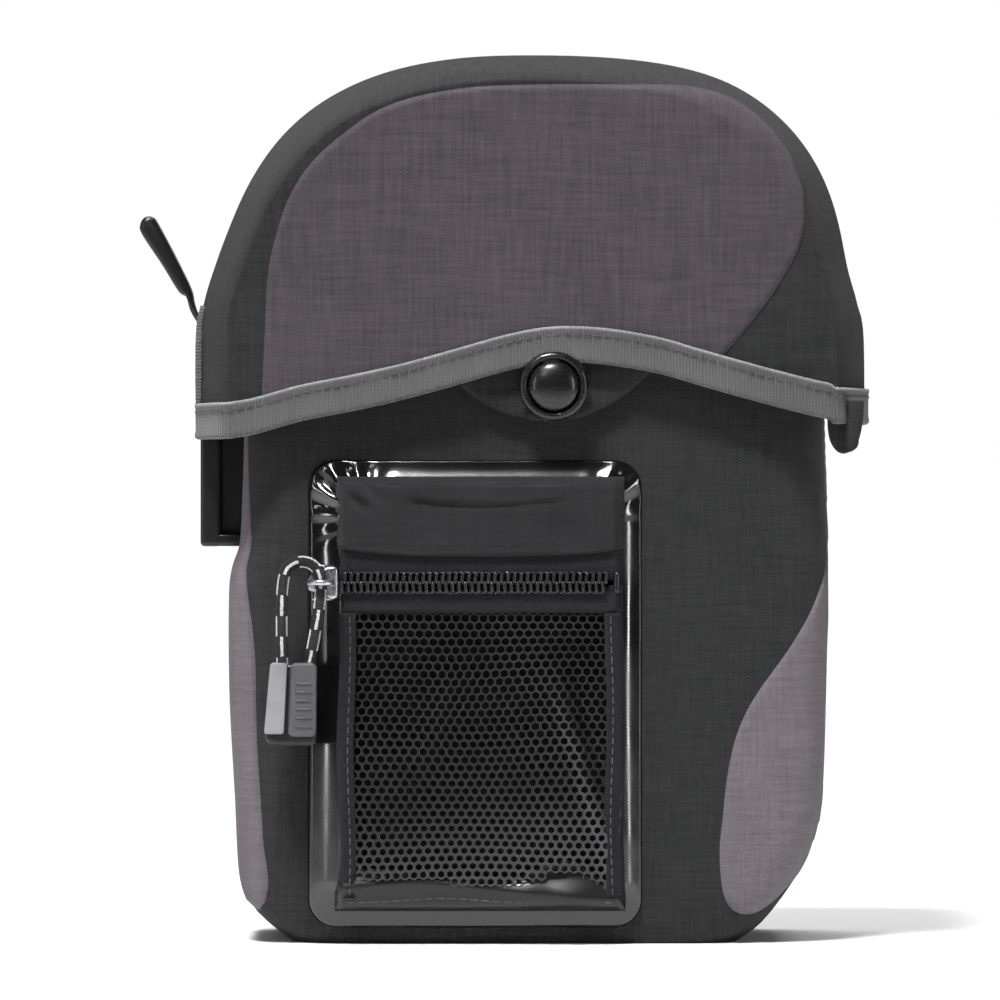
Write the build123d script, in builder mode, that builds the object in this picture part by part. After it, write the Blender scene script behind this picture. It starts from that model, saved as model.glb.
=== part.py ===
"""Saddle bag with a flap lid, an outside mesh pocket and a slide-on mount at its left flank.

Frame: millimetres, +X right, +Z up, the bag's front faces -Y. The origin is the centre of the base.
"""
import os
from math import cos, radians, sin, tan

from build123d import *

# ---------------------------------------------------------------- driving dimensions: bag body
BODY_WIDTH = 157.0
BODY_DEPTH = 100.0
BODY_TOP = 184.0
WALL = 2.5
LEFT_CORNER_R = 16.0
RIGHT_CORNER_R = 35.0
BASE_SEAM_Z = 40.0
BACK_SHOULDER_Z = 190.0
BACK_TOP_INSET = 12.5
SKIN = 0.8

# ---------------------------------------------------------------- driving dimensions: lid
LID_OVERHANG = 11.3
LID_HEIGHT = 240.0
LID_SPRING_Z = 160.0
LID_POWER = 2.4
LID_STEPS = 6
LID_FRONT_GAP = 3.5
LID_REAR_GAP = 0.6
HEM_WIDTH = 9.5
HEM_LEFT_Z = 136.0
HEM_RIGHT_Z = 140.0
NOTCH_Y = -23.0
NOTCH_TOP_Z = 172.0
TRIM_REACH = 3.0
EAR_GAP = 1.0
EAR_BOTTOM = 131.6
EAR_HEIGHT = 14.0
EAR_ROUND = 3.0
HINGE_Z = 212.0
PIPING_R = 2.6
PIPING_SEAT = 0.2
PIPING_CLEARANCE = 0.05
PIPING_INSET = 16.5

# ---------------------------------------------------------------- driving dimensions: snap
SNAP_X = 5.8
SNAP_Z = 149.8
SNAP_RING_R = 9.4
SNAP_CAP_R = 6.7
SNAP_CAP_RISE = 2.4
SNAP_CAP_RIM = 2.4
SNAP_NECK_R = 4.0
SNAP_FRONT_GAP = 0.4
TAB_THICKNESS = 1.6
SOCKET_R = 7.0
SOCKET_BORE_R = 5.0
SOCKET_HEIGHT = 1.2
STUD_R = 3.4
STUD_HEIGHT = 1.4
STUD_FLANGE_R = 5.5
STUD_FLANGE = 0.4
RIVET_R = 1.5
RIVET_HEAD_R = 6.0
RIVET_HEAD = 1.0

# ---------------------------------------------------------------- driving dimensions: pocket
FRAME_LEFT = -60.0
FRAME_RIGHT = 29.5
FRAME_BOTTOM = 4.8
FRAME_TOP = 130.0
FRAME_CORNER_R = 6.7
FRAME_HEIGHT = 6.5
FRAME_TAPER = 26.0
WINDOW_LEFT = -51.5
WINDOW_RIGHT = 23.6
WINDOW_BOTTOM = 10.5
WINDOW_TOP = 124.6
PANEL_RECESS = 0.4
POCKET_HEM_TOP = 13.4
MESH_TOP = 89.0
TAPE_TOP = 105.0
ZIP_Z = 97.15
ZIP_GAP = 1.4
COIL_WIDTH = 6.1
COIL_HEIGHT = 1.9
STOP_LENGTH = 1.8
STOP_GAP = 0.1

# ---------------------------------------------------------------- driving dimensions: slider and pull
SLIDER_LENGTH = 8.0
SLIDER_LEFT = -58.6
SLIDER_HALF_HEIGHT = 4.1
SLIDER_PLATE = 1.1
SLIDER_CLEARANCE = 0.3
SLIDER_FLANGE = 0.6
SLIDER_POST = 3.4
SLIDER_POST_WEB = 0.7
GARAGE_MARGIN = 0.7
EYE_X = -56.5
EYE_R = 3.5
EYE_BORE_R = 2.1
EYE_HEIGHT = 3.0
CORD_R = 1.65
CORD_SOCKET = 4.0
GRIP_LEFT = -71.6
GRIP_RIGHT = -57.4
GRIP_BOTTOM = 53.6
GRIP_TOP = 75.8
GRIP_DEPTH = 9.0
GRIP_ROUND = 1.6
GRIP_FACE_RIGHT = -65.6
GRIP_FACE = 1.2
GRIP_FACE_LIFT = 2.0

# ---------------------------------------------------------------- driving dimensions: mount
RAIL_BOTTOM = 106.7
RAIL_TOP = 170.0
RAIL_DEPTH = 11.5
FLANGE = 5.6
FLANGE_WIDTH = 40.0
WEB_WIDTH = 28.0
LIP = 3.0
RAIL_ROUND = 2.0
SCREW_R = 2.0
SCREW_HEAD_R = 3.8
SCREW_HEAD = 2.4
SCREW_SINK = 3.0
SCREW_SINK_R = 4.0
SCREW_SPACING_Y = 16.0
SCREW_SPACING_Z = 26.0
SCREW_LOW_Z = 117.0
NUT_R = 4.0
NUT = 3.0
NUT_TAIL = 0.6
BOARD = 2.0
BOARD_WIDTH = 66.0
BOARD_BOTTOM = 96.0
BOARD_TOP = 176.0
PIN_OUT = 7.8
PIN_Z = 163.0
PIN_R = 1.5
PIN_CLEARANCE = 0.05
PIN_LENGTH = 26.0
LEVER_WIDTH = 16.0
LEVER_SIDE_GAP = 0.3
KNUCKLE_R = 3.4
SLOT_BOTTOM = 156.0
SLOT_DEPTH = 8.2
SPRING_COIL_R = 2.5
SPRING_WIRE_R = 0.35
SPRING_PITCH = 1.0
SPRING_TURNS = 4
SPRING_GAP = 0.5

# ---------------------------------------------------------------- places that follow from the sizes
BODY_HALF = BODY_WIDTH / 2
BODY_FRONT_Y = -BODY_DEPTH / 2
BODY_BACK_Y = BODY_DEPTH / 2
FLANK_X = -BODY_HALF
LID_WIDTH = BODY_WIDTH + 2 * LID_OVERHANG
PIPING_LENGTH = BODY_WIDTH - 2 * PIPING_INSET
BACK_TOP_WIDTH = BODY_WIDTH - 2 * BACK_TOP_INSET
LID_HALF = LID_WIDTH / 2
LID_INNER_Y = BODY_FRONT_Y - LID_FRONT_GAP
LID_FRONT_Y = LID_INNER_Y - WALL
LID_REAR_Y = BODY_BACK_Y - WALL - LID_REAR_GAP
HINGE_Y = BODY_BACK_Y - WALL / 2
EAR_LEFT = BODY_HALF + EAR_GAP
EAR_RIGHT = LID_HALF - WALL
BACK_TOP_Z = HINGE_Z - PIPING_R + PIPING_SEAT
LID_BACK_Z = HINGE_Z + PIPING_R + PIPING_CLEARANCE
TAB_BACK_Y = LID_INNER_Y + TAB_THICKNESS
CAP_BACK_Y = LID_FRONT_Y - SKIN - SNAP_FRONT_GAP
FRAME_FRONT_Y = BODY_FRONT_Y - FRAME_HEIGHT
PANEL_FRONT_Y = FRAME_FRONT_Y + PANEL_RECESS
PANEL_BACK_Y = PANEL_FRONT_Y + SKIN
COIL_FRONT_Y = PANEL_FRONT_Y - COIL_HEIGHT
PLATE_BACK_Y = COIL_FRONT_Y - SLIDER_CLEARANCE
PLATE_FRONT_Y = PLATE_BACK_Y - SLIDER_PLATE
REAR_PLATE_FRONT_Y = PANEL_BACK_Y + SLIDER_CLEARANCE
REAR_PLATE_BACK_Y = REAR_PLATE_FRONT_Y + SLIDER_PLATE
GARAGE_LEFT = SLIDER_LEFT - GARAGE_MARGIN
GARAGE_HALF_HEIGHT = SLIDER_HALF_HEIGHT + GARAGE_MARGIN
GARAGE_BACK_Y = REAR_PLATE_BACK_Y + GARAGE_MARGIN
EYE_Y = PLATE_FRONT_Y - 0.8 * EYE_R
COIL_END_X = WINDOW_RIGHT - STOP_LENGTH - STOP_GAP
RAIL_OUTER_X = FLANK_X - RAIL_DEPTH
PIN_X = FLANK_X - PIN_OUT
WEB_OUTER_X = RAIL_OUTER_X + FLANGE
BOARD_INNER_X = FLANK_X + WALL + BOARD
RAIL_HEIGHT = RAIL_TOP - RAIL_BOTTOM
SLOT_WIDTH = LEVER_WIDTH + 2 * LEVER_SIDE_GAP

# ---------------------------------------------------------------- curves chosen by hand, as (x, z)
HEM_CURVE = [
    (-95.0, HEM_LEFT_Z),
    (-78.0, HEM_LEFT_Z + 0.8),
    (-43.0, HEM_LEFT_Z + 8.2),
    (13.0, HEM_LEFT_Z + 20.2),
    (48.0, HEM_LEFT_Z + 13.6),
    (80.0, HEM_RIGHT_Z + 1.2),
    (95.0, HEM_RIGHT_Z),
]
ACCENT_LEFT = [(-72.4, 135.0), (-71.5, 178.0)]
ACCENT_TOP = [(-71.5, 178.0), (-64.5, 201.0), (-50.0, 218.0), (-28.0, 228.0), (0.0, 231.0), (42.0, 230.5)]
ACCENT_RIGHT = [(42.0, 230.5), (61.0, 222.0), (73.0, 199.0), (64.0, 173.0), (46.0, 150.0)]
CORNER_UPPER = [
    (BODY_HALF, 102.0),
    (BODY_HALF - 9.5, 79.0),
    (BODY_HALF - 21.5, 61.0),
    (BODY_HALF - 26.7, 40.0),
    (BODY_HALF - 27.9, 22.0),
]
CORNER_LOWER = [
    (BODY_HALF - 27.9, 22.0),
    (BODY_HALF - 22.5, 8.2),
    (BODY_HALF - 9.5, 15.2),
    (BODY_HALF, 41.0),
]
TAB_ARC = [(-17.4, 148.0), (6.0, 140.4), (32.0, 153.6)]
TAB_CROWN_Z = 161.0
STEM = [(PIN_X + 1.9, PIN_Z + 2.9), (PIN_X - 4.3, PIN_Z + 6.6), (PIN_X - 6.6, PIN_Z + 13.9)]
PADDLE_TIP = [
    (PIN_X - 15.5, PIN_Z + 32.2),
    (PIN_X - 19.4, PIN_Z + 33.3),
    (PIN_X - 20.5, PIN_Z + 29.4),
]
STEM_BACK = [(PIN_X - 9.5, PIN_Z + 12.5), (PIN_X - 6.5, PIN_Z + 5.9), (PIN_X - 3.1, PIN_Z + 1.4)]
CORD_ROUTE = [
    (-66.7, GRIP_TOP - CORD_SOCKET),
    (-67.1, 85.6),
    (-66.7, 99.8),
    (-63.7, 102.8),
    (-59.5, 102.8),
    (EYE_X, 99.8),
    (EYE_X, 93.2),
    (-58.0, 83.2),
    (-60.4, GRIP_TOP - CORD_SOCKET),
]


# ---------------------------------------------------------------- planes, outlines and export
def front_plane(y):
    """A plane facing the front of the bag, whose sketch axes are global X and Z."""
    return Plane.XZ.offset(-y)


def save(piece, label):
    """Label a finished piece and write it as its own file."""
    piece.part.label = label
    export_step(piece.part, f"parts/{label}.step")


def body_outline(inset):
    """Front view of the bag body, with its two round lower corners."""
    half = BODY_HALF - inset
    with BuildSketch() as outline:
        with BuildLine():
            wall = FilletPolyline(
                (-half, BODY_TOP), (-half, inset), (half, inset), (half, BODY_TOP),
                radius=[LEFT_CORNER_R - inset, RIGHT_CORNER_R - inset],
            )
            Line(wall @ 1, wall @ 0)
        make_face()
    return outline.sketch


def lid_outline(inset):
    """Front view of the lid: straight sides under a superelliptic vault."""
    half = LID_HALF - inset
    rise = LID_HEIGHT - inset - LID_SPRING_Z
    shoulder = []
    for step in range(LID_STEPS + 1):
        angle = radians(90.0 * step / LID_STEPS)
        x = half * cos(angle) ** (2 / LID_POWER)
        shoulder.append((x, LID_SPRING_Z + rise * sin(angle) ** (2 / LID_POWER)))
    shoulder[-1] = (0.0, LID_HEIGHT - inset)
    foot = HEM_LEFT_Z - HEM_WIDTH
    with BuildSketch() as outline:
        with BuildLine():
            Polyline((0, foot), (half, foot), (half, LID_SPRING_Z))
            Spline(*shoulder, tangents=[(0, 1), (-1, 0)])
            mirror(about=Plane.YZ)
        make_face()
    return outline.sketch


def above_hem(lift):
    """The region above the lid's wavy hem, moved up by lift."""
    curve = [(x, z + lift) for x, z in HEM_CURVE]
    ceiling = LID_HEIGHT + HEM_WIDTH
    with BuildSketch() as region:
        with BuildLine():
            Spline(*curve)
            Polyline(curve[-1], (curve[-1][0], ceiling), (curve[0][0], ceiling), curve[0])
        make_face()
    return region.sketch


def window_strip(low_z, high_z, left=WINDOW_LEFT, right=WINDOW_RIGHT):
    """A rectangle of the pocket window between two heights."""
    with BuildSketch() as strip:
        with Locations(((left + right) / 2, (low_z + high_z) / 2)):
            Rectangle(right - left, high_z - low_z)
    return strip.sketch


def snap_profile(*points):
    """A closed half section of a round snap part, as (radius, y) pairs."""
    with BuildSketch() as profile:
        with BuildLine():
            Polyline(*points, close=True)
        make_face()
    return profile.sketch


def cord_radii(points):
    """The largest arcs that the runs of a route allow, one for each inner point."""
    radii = []
    vectors = [Vector(x, z) for x, z in points]
    for before, corner, after in zip(vectors, vectors[1:], vectors[2:]):
        run = min((corner - before).length, (after - corner).length)
        turn = (corner - before).get_angle(after - corner)
        radii.append(0.45 * run / tan(radians(turn / 2)))
    return radii


os.makedirs("parts", exist_ok=True)
snap_axis = Axis((SNAP_X, 0, SNAP_Z), (0, 1, 0))
snap_plane = Plane(origin=(SNAP_X, 0, SNAP_Z), x_dir=(1, 0, 0), z_dir=(0, 0, 1))
screw_places = [
    (y, z)
    for y in (-SCREW_SPACING_Y / 2, SCREW_SPACING_Y / 2)
    for z in (SCREW_LOW_Z, SCREW_LOW_Z + SCREW_SPACING_Z)
]


def screw_bore(radius, from_x, to_x, mode=Mode.SUBTRACT):
    """Four cylinders along X at the screws' places, between two X positions."""
    with Locations(*[((from_x + to_x) / 2, y, z) for y, z in screw_places]):
        Cylinder(radius, abs(to_x - from_x), rotation=(0, 90, 0), mode=mode)


# ---------------------------------------------------------------- bag body
with BuildPart() as front_panel:
    with BuildSketch(front_plane(BODY_FRONT_Y + WALL)):
        add(body_outline(0))
    extrude(amount=WALL)
    with Locations((SNAP_X, BODY_FRONT_Y + WALL / 2, SNAP_Z)):
        Cylinder(RIVET_R, WALL, rotation=(90, 0, 0), mode=Mode.SUBTRACT)
save(front_panel, "front_panel")

with BuildPart() as back_panel:
    with BuildSketch(front_plane(BODY_BACK_Y)):
        add(body_outline(0))
        with BuildLine():
            Polyline(
                (-BODY_HALF, BODY_TOP),
                (-BODY_HALF, BACK_SHOULDER_Z),
                (-BACK_TOP_WIDTH / 2, BACK_TOP_Z),
                (BACK_TOP_WIDTH / 2, BACK_TOP_Z),
                (BODY_HALF, BACK_SHOULDER_Z),
                (BODY_HALF, BODY_TOP),
                close=True,
            )
        make_face()
    extrude(amount=WALL)
    with Locations((0, HINGE_Y, HINGE_Z)):
        Cylinder(PIPING_R, 2 * BODY_WIDTH, rotation=(0, 90, 0), mode=Mode.SUBTRACT)
save(back_panel, "back_panel")


def body_band(low_z, high_z, low_x, high_x):
    """A stretch of the wall between front and back panel, inside a front-view rectangle."""
    with BuildSketch() as band:
        add(body_outline(0))
        add(body_outline(WALL), mode=Mode.SUBTRACT)
        with Locations((0, BODY_TOP)):
            Rectangle(BODY_WIDTH - 2 * WALL, 2 * WALL, mode=Mode.SUBTRACT)
        with Locations(((low_x + high_x) / 2, (low_z + high_z) / 2)):
            Rectangle(high_x - low_x, high_z - low_z, mode=Mode.INTERSECT)
    return band.sketch


with BuildPart() as base_panel:
    with BuildSketch(front_plane(BODY_BACK_Y - WALL)):
        add(body_band(0, BASE_SEAM_Z, -BODY_HALF, BODY_HALF))
    extrude(amount=BODY_DEPTH - 2 * WALL)
save(base_panel, "base_panel")

with BuildPart() as left_side_panel:
    with BuildSketch(front_plane(BODY_BACK_Y - WALL)):
        add(body_band(BASE_SEAM_Z, BODY_TOP, -BODY_HALF, 0))
    extrude(amount=BODY_DEPTH - 2 * WALL)
    screw_bore(SCREW_R, FLANK_X, FLANK_X + WALL)
save(left_side_panel, "left_side_panel")

with BuildPart() as right_side_panel:
    with BuildSketch(front_plane(BODY_BACK_Y - WALL)):
        add(body_band(BASE_SEAM_Z, BODY_TOP, 0, BODY_HALF))
    extrude(amount=BODY_DEPTH - 2 * WALL)
save(right_side_panel, "right_side_panel")

with BuildPart() as corner_panel:
    with BuildSketch(front_plane(BODY_FRONT_Y)):
        with BuildLine():
            Spline(*CORNER_UPPER)
            Spline(*CORNER_LOWER)
            Line(CORNER_LOWER[-1], CORNER_UPPER[0])
        make_face()
        add(body_outline(0), mode=Mode.INTERSECT)
    extrude(amount=SKIN)
save(corner_panel, "corner_panel")

with BuildPart() as stiffener_board:
    with Locations((BOARD_INNER_X - BOARD / 2, 0, (BOARD_BOTTOM + BOARD_TOP) / 2)):
        Box(BOARD, BOARD_WIDTH, BOARD_TOP - BOARD_BOTTOM)
    screw_bore(SCREW_R, BOARD_INNER_X - BOARD, BOARD_INNER_X)
save(stiffener_board, "stiffener_board")

with BuildPart() as hinge_piping:
    with Locations((0, HINGE_Y, HINGE_Z)):
        Cylinder(PIPING_R, PIPING_LENGTH, rotation=(0, 90, 0))
save(hinge_piping, "hinge_piping")

# ---------------------------------------------------------------- lid
with BuildPart() as lid_front_panel:
    with BuildSketch(front_plane(LID_INNER_Y)):
        add(lid_outline(0))
        add(above_hem(0), mode=Mode.INTERSECT)
    extrude(amount=WALL)
save(lid_front_panel, "lid_front_panel")

with BuildPart() as lid_gusset:
    with BuildSketch(front_plane(LID_REAR_Y)):
        add(lid_outline(0))
        add(lid_outline(WALL), mode=Mode.SUBTRACT)
        with Locations((-LID_HALF, HEM_LEFT_Z)):
            Rectangle(LID_WIDTH, LID_WIDTH, align=(Align.CENTER, Align.MAX), mode=Mode.SUBTRACT)
        with Locations((LID_HALF, HEM_RIGHT_Z)):
            Rectangle(LID_WIDTH, LID_WIDTH, align=(Align.CENTER, Align.MAX), mode=Mode.SUBTRACT)
    extrude(amount=LID_REAR_Y - LID_INNER_Y)
    with Locations((-LID_HALF, NOTCH_Y, NOTCH_TOP_Z)):
        Box(LID_HALF, BODY_DEPTH, LID_HEIGHT, align=(Align.CENTER, Align.MIN, Align.MAX), mode=Mode.SUBTRACT)
save(lid_gusset, "lid_gusset")

with BuildPart() as lid_back_panel:
    with BuildSketch(front_plane(BODY_BACK_Y)):
        add(lid_outline(0))
        with Locations((0, LID_BACK_Z)):
            Rectangle(2 * LID_WIDTH, LID_HEIGHT, align=(Align.CENTER, Align.MIN), mode=Mode.INTERSECT)
    extrude(amount=BODY_BACK_Y - LID_REAR_Y)
save(lid_back_panel, "lid_back_panel")

with BuildPart() as lid_accent_panel:
    with BuildSketch(front_plane(LID_FRONT_Y)):
        with BuildLine():
            Line(*ACCENT_LEFT)
            Spline(*ACCENT_TOP, tangents=[(0.1, 1), (1, 0)])
            Spline(*ACCENT_RIGHT, tangents=[(1, 0), (-0.7, -0.8)])
            Polyline(ACCENT_RIGHT[-1], (ACCENT_RIGHT[-1][0], ACCENT_LEFT[0][1]), ACCENT_LEFT[0])
        make_face()
        add(above_hem(HEM_WIDTH), mode=Mode.INTERSECT)
    extrude(amount=SKIN)
save(lid_accent_panel, "lid_accent_panel")

with BuildPart() as lid_binding:
    with BuildSketch(front_plane(LID_FRONT_Y)):
        add(lid_outline(-SKIN))
        add(above_hem(0), mode=Mode.INTERSECT)
        add(above_hem(HEM_WIDTH), mode=Mode.SUBTRACT)
    extrude(amount=SKIN)
    with Locations((-LID_HALF, LID_FRONT_Y, HEM_LEFT_Z)):
        Box(SKIN, NOTCH_Y - LID_FRONT_Y, HEM_WIDTH, align=(Align.MAX, Align.MIN, Align.MIN))
    with Locations((LID_HALF, LID_FRONT_Y, HEM_RIGHT_Z)):
        Box(SKIN, LID_REAR_Y - LID_FRONT_Y, HEM_WIDTH, align=(Align.MIN, Align.MIN, Align.MIN))
save(lid_binding, "lid_binding")

with BuildPart() as lid_edge_trim:
    with BuildSketch(front_plane(NOTCH_Y + SKIN)):
        add(lid_outline(-SKIN))
        add(lid_outline(WALL + SKIN), mode=Mode.SUBTRACT)
        with Locations((-LID_HALF, (HEM_LEFT_Z + HEM_WIDTH + NOTCH_TOP_Z) / 2)):
            Rectangle(LID_HALF, NOTCH_TOP_Z - HEM_LEFT_Z - HEM_WIDTH, mode=Mode.INTERSECT)
    extrude(amount=TRIM_REACH + SKIN)
    add(lid_gusset.part, mode=Mode.SUBTRACT)
save(lid_edge_trim, "lid_edge_trim")

with BuildPart() as hem_ear:
    with Locations((EAR_LEFT, LID_INNER_Y, EAR_BOTTOM)):
        Box(EAR_RIGHT - EAR_LEFT, TAB_THICKNESS, EAR_HEIGHT, align=(Align.MIN, Align.MIN, Align.MIN))
    fillet(hem_ear.edges().filter_by(Axis.Y).group_by(Axis.Z)[0], EAR_ROUND)
save(hem_ear, "hem_ear")

# ---------------------------------------------------------------- snap
with BuildPart() as snap_tab:
    with BuildSketch(front_plane(TAB_BACK_Y)):
        with BuildLine():
            ThreePointArc(*TAB_ARC)
            ThreePointArc(TAB_ARC[2], (TAB_ARC[1][0], TAB_CROWN_Z), TAB_ARC[0])
        make_face()
    extrude(amount=TAB_THICKNESS)
save(snap_tab, "snap_tab")

with BuildPart() as snap_ring:
    with BuildSketch(snap_plane):
        add(snap_profile(
            (SNAP_CAP_R, CAP_BACK_Y),
            (SNAP_RING_R, CAP_BACK_Y),
            (SNAP_RING_R, CAP_BACK_Y - SNAP_CAP_RIM / 2),
            (SNAP_RING_R - SNAP_CAP_RIM / 2, CAP_BACK_Y - SNAP_CAP_RIM),
            (SNAP_CAP_R, CAP_BACK_Y - SNAP_CAP_RIM),
        ))
    revolve(axis=snap_axis)
save(snap_ring, "snap_ring")

with BuildPart() as snap_cap:
    with BuildSketch(snap_plane):
        with BuildLine():
            crown_y = CAP_BACK_Y - SNAP_CAP_RIM - SNAP_CAP_RISE
            Polyline(
                (0, crown_y), (0, LID_INNER_Y), (SNAP_NECK_R, LID_INNER_Y), (SNAP_NECK_R, CAP_BACK_Y),
                (SNAP_CAP_R, CAP_BACK_Y), (SNAP_CAP_R, CAP_BACK_Y - SNAP_CAP_RIM),
            )
            TangentArc((0, crown_y), (SNAP_CAP_R, CAP_BACK_Y - SNAP_CAP_RIM), tangent=(1, 0))
        make_face()
    revolve(axis=snap_axis)
save(snap_cap, "snap_cap")

with BuildPart() as snap_socket:
    with BuildSketch(snap_plane):
        add(snap_profile(
            (SOCKET_BORE_R, TAB_BACK_Y),
            (SOCKET_R, TAB_BACK_Y),
            (SOCKET_R, TAB_BACK_Y + SOCKET_HEIGHT),
            (SOCKET_BORE_R, TAB_BACK_Y + SOCKET_HEIGHT),
        ))
    revolve(axis=snap_axis)
save(snap_socket, "snap_socket")

with BuildPart() as snap_stud:
    with BuildSketch(snap_plane):
        add(snap_profile(
            (0, BODY_FRONT_Y - STUD_HEIGHT),
            (STUD_R, BODY_FRONT_Y - STUD_HEIGHT),
            (STUD_R, BODY_FRONT_Y - STUD_FLANGE),
            (STUD_FLANGE_R, BODY_FRONT_Y - STUD_FLANGE),
            (STUD_FLANGE_R, BODY_FRONT_Y),
            (RIVET_R, BODY_FRONT_Y),
            (RIVET_R, BODY_FRONT_Y + WALL),
            (0, BODY_FRONT_Y + WALL),
        ))
    revolve(axis=snap_axis)
save(snap_stud, "snap_stud")

with BuildPart() as stud_backing:
    with Locations((SNAP_X, BODY_FRONT_Y + WALL + RIVET_HEAD / 2, SNAP_Z)):
        Cylinder(RIVET_HEAD_R, RIVET_HEAD, rotation=(90, 0, 0))
save(stud_backing, "stud_backing")

# ---------------------------------------------------------------- pocket
with BuildPart() as pocket_frame:
    with BuildSketch(front_plane(BODY_FRONT_Y)):
        with Locations(((FRAME_LEFT + FRAME_RIGHT) / 2, (FRAME_BOTTOM + FRAME_TOP) / 2)):
            RectangleRounded(FRAME_RIGHT - FRAME_LEFT, FRAME_TOP - FRAME_BOTTOM, FRAME_CORNER_R)
    extrude(amount=FRAME_HEIGHT, taper=FRAME_TAPER)
    with BuildSketch(front_plane(BODY_FRONT_Y)):
        add(window_strip(WINDOW_BOTTOM, WINDOW_TOP))
    extrude(amount=FRAME_HEIGHT, mode=Mode.SUBTRACT)
    with Locations((GARAGE_LEFT, GARAGE_BACK_Y, ZIP_Z)):
        Box(
            WINDOW_LEFT - GARAGE_LEFT, 2 * FRAME_HEIGHT, 2 * GARAGE_HALF_HEIGHT,
            align=(Align.MIN, Align.MAX, Align.CENTER), mode=Mode.SUBTRACT,
        )
save(pocket_frame, "pocket_frame")


def pocket_strip(label, low_z, high_z, back_y=PANEL_BACK_Y, depth=SKIN, right=WINDOW_RIGHT):
    """One flat piece that fills the pocket window between two heights."""
    with BuildPart() as strip:
        with BuildSketch(front_plane(back_y)):
            add(window_strip(low_z, high_z, right=right))
        extrude(amount=depth)
    save(strip, label)


pocket_strip("pocket_upper_panel", TAPE_TOP, WINDOW_TOP)
pocket_strip("zip_tape_upper", ZIP_Z + ZIP_GAP / 2, TAPE_TOP)
pocket_strip("zip_tape_lower", MESH_TOP, ZIP_Z - ZIP_GAP / 2)
pocket_strip("mesh_panel", POCKET_HEM_TOP, MESH_TOP)
pocket_strip("pocket_hem", WINDOW_BOTTOM, POCKET_HEM_TOP, depth=SKIN + PANEL_RECESS)
pocket_strip(
    "zip_coil_upper", ZIP_Z + ZIP_GAP / 2, ZIP_Z + COIL_WIDTH / 2,
    back_y=PANEL_FRONT_Y, depth=COIL_HEIGHT, right=COIL_END_X,
)
pocket_strip(
    "zip_coil_lower", ZIP_Z - COIL_WIDTH / 2, ZIP_Z - ZIP_GAP / 2,
    back_y=PANEL_FRONT_Y, depth=COIL_HEIGHT, right=COIL_END_X,
)

with BuildPart() as zip_end_stop:
    with Locations((WINDOW_RIGHT - STOP_LENGTH, PANEL_FRONT_Y, ZIP_Z)):
        Box(STOP_LENGTH, COIL_HEIGHT, COIL_WIDTH, align=(Align.MIN, Align.MAX, Align.CENTER))
save(zip_end_stop, "zip_end_stop")

# ---------------------------------------------------------------- slider and pull
with BuildPart() as zip_slider:
    with Locations((SLIDER_LEFT, PLATE_FRONT_Y, ZIP_Z)):
        Box(SLIDER_LENGTH, SLIDER_PLATE, 2 * SLIDER_HALF_HEIGHT, align=(Align.MIN, Align.MIN, Align.CENTER))
    with Locations((SLIDER_LEFT, REAR_PLATE_FRONT_Y, ZIP_Z)):
        Box(SLIDER_LENGTH, SLIDER_PLATE, 2 * SLIDER_HALF_HEIGHT, align=(Align.MIN, Align.MIN, Align.CENTER))
    fillet(zip_slider.edges().filter_by(Axis.Y), 1.5)
    with Locations((SLIDER_LEFT + 0.5, PLATE_BACK_Y, ZIP_Z)):
        Box(
            SLIDER_POST, REAR_PLATE_FRONT_Y - PLATE_BACK_Y, SLIDER_POST_WEB,
            align=(Align.MIN, Align.MIN, Align.CENTER),
        )
    for side in (-1, 1):
        with Locations((SLIDER_LEFT + SLIDER_LENGTH / 2, PLATE_BACK_Y, ZIP_Z + side * SLIDER_HALF_HEIGHT)):
            Box(
                SLIDER_LENGTH / 2, COIL_HEIGHT - SLIDER_CLEARANCE, SLIDER_FLANGE,
                align=(Align.CENTER, Align.MIN, Align.MAX if side > 0 else Align.MIN),
            )
    with Locations((EYE_X, EYE_Y, ZIP_Z)):
        Cylinder(EYE_R, EYE_HEIGHT)
        Cylinder(EYE_BORE_R, EYE_HEIGHT, mode=Mode.SUBTRACT)
save(zip_slider, "zip_slider")

CORD_RADII = cord_radii(CORD_ROUTE)
print("cord radii:", [round(radius, 2) for radius in CORD_RADII])
with BuildPart() as pull_cord:
    with BuildLine(Plane.XZ.offset(-EYE_Y)) as cord_path:
        FilletPolyline(*CORD_ROUTE, radius=CORD_RADII)
    with BuildSketch(Plane(cord_path.line @ 0, z_dir=cord_path.line % 0)):
        Circle(CORD_R)
    sweep(path=cord_path.line)
print("cord length:", round(cord_path.wire().length, 2))
save(pull_cord, "pull_cord")

with BuildPart() as pull_grip:
    with Locations(((GRIP_LEFT + GRIP_RIGHT) / 2, EYE_Y, (GRIP_BOTTOM + GRIP_TOP) / 2)):
        Box(GRIP_RIGHT - GRIP_LEFT, GRIP_DEPTH, GRIP_TOP - GRIP_BOTTOM)
    fillet(pull_grip.edges().filter_by(Axis.Z), GRIP_ROUND)
    add(pull_cord.part, mode=Mode.SUBTRACT)
save(pull_grip, "pull_grip")

with BuildPart() as grip_face:
    with Locations((GRIP_LEFT + GRIP_ROUND, EYE_Y - GRIP_DEPTH / 2, GRIP_BOTTOM + GRIP_FACE_LIFT)):
        Box(
            GRIP_FACE_RIGHT - GRIP_LEFT - GRIP_ROUND, GRIP_FACE, GRIP_TOP - GRIP_BOTTOM - GRIP_FACE_LIFT,
            align=(Align.MIN, Align.MAX, Align.MIN),
        )
save(grip_face, "grip_face")

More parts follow.
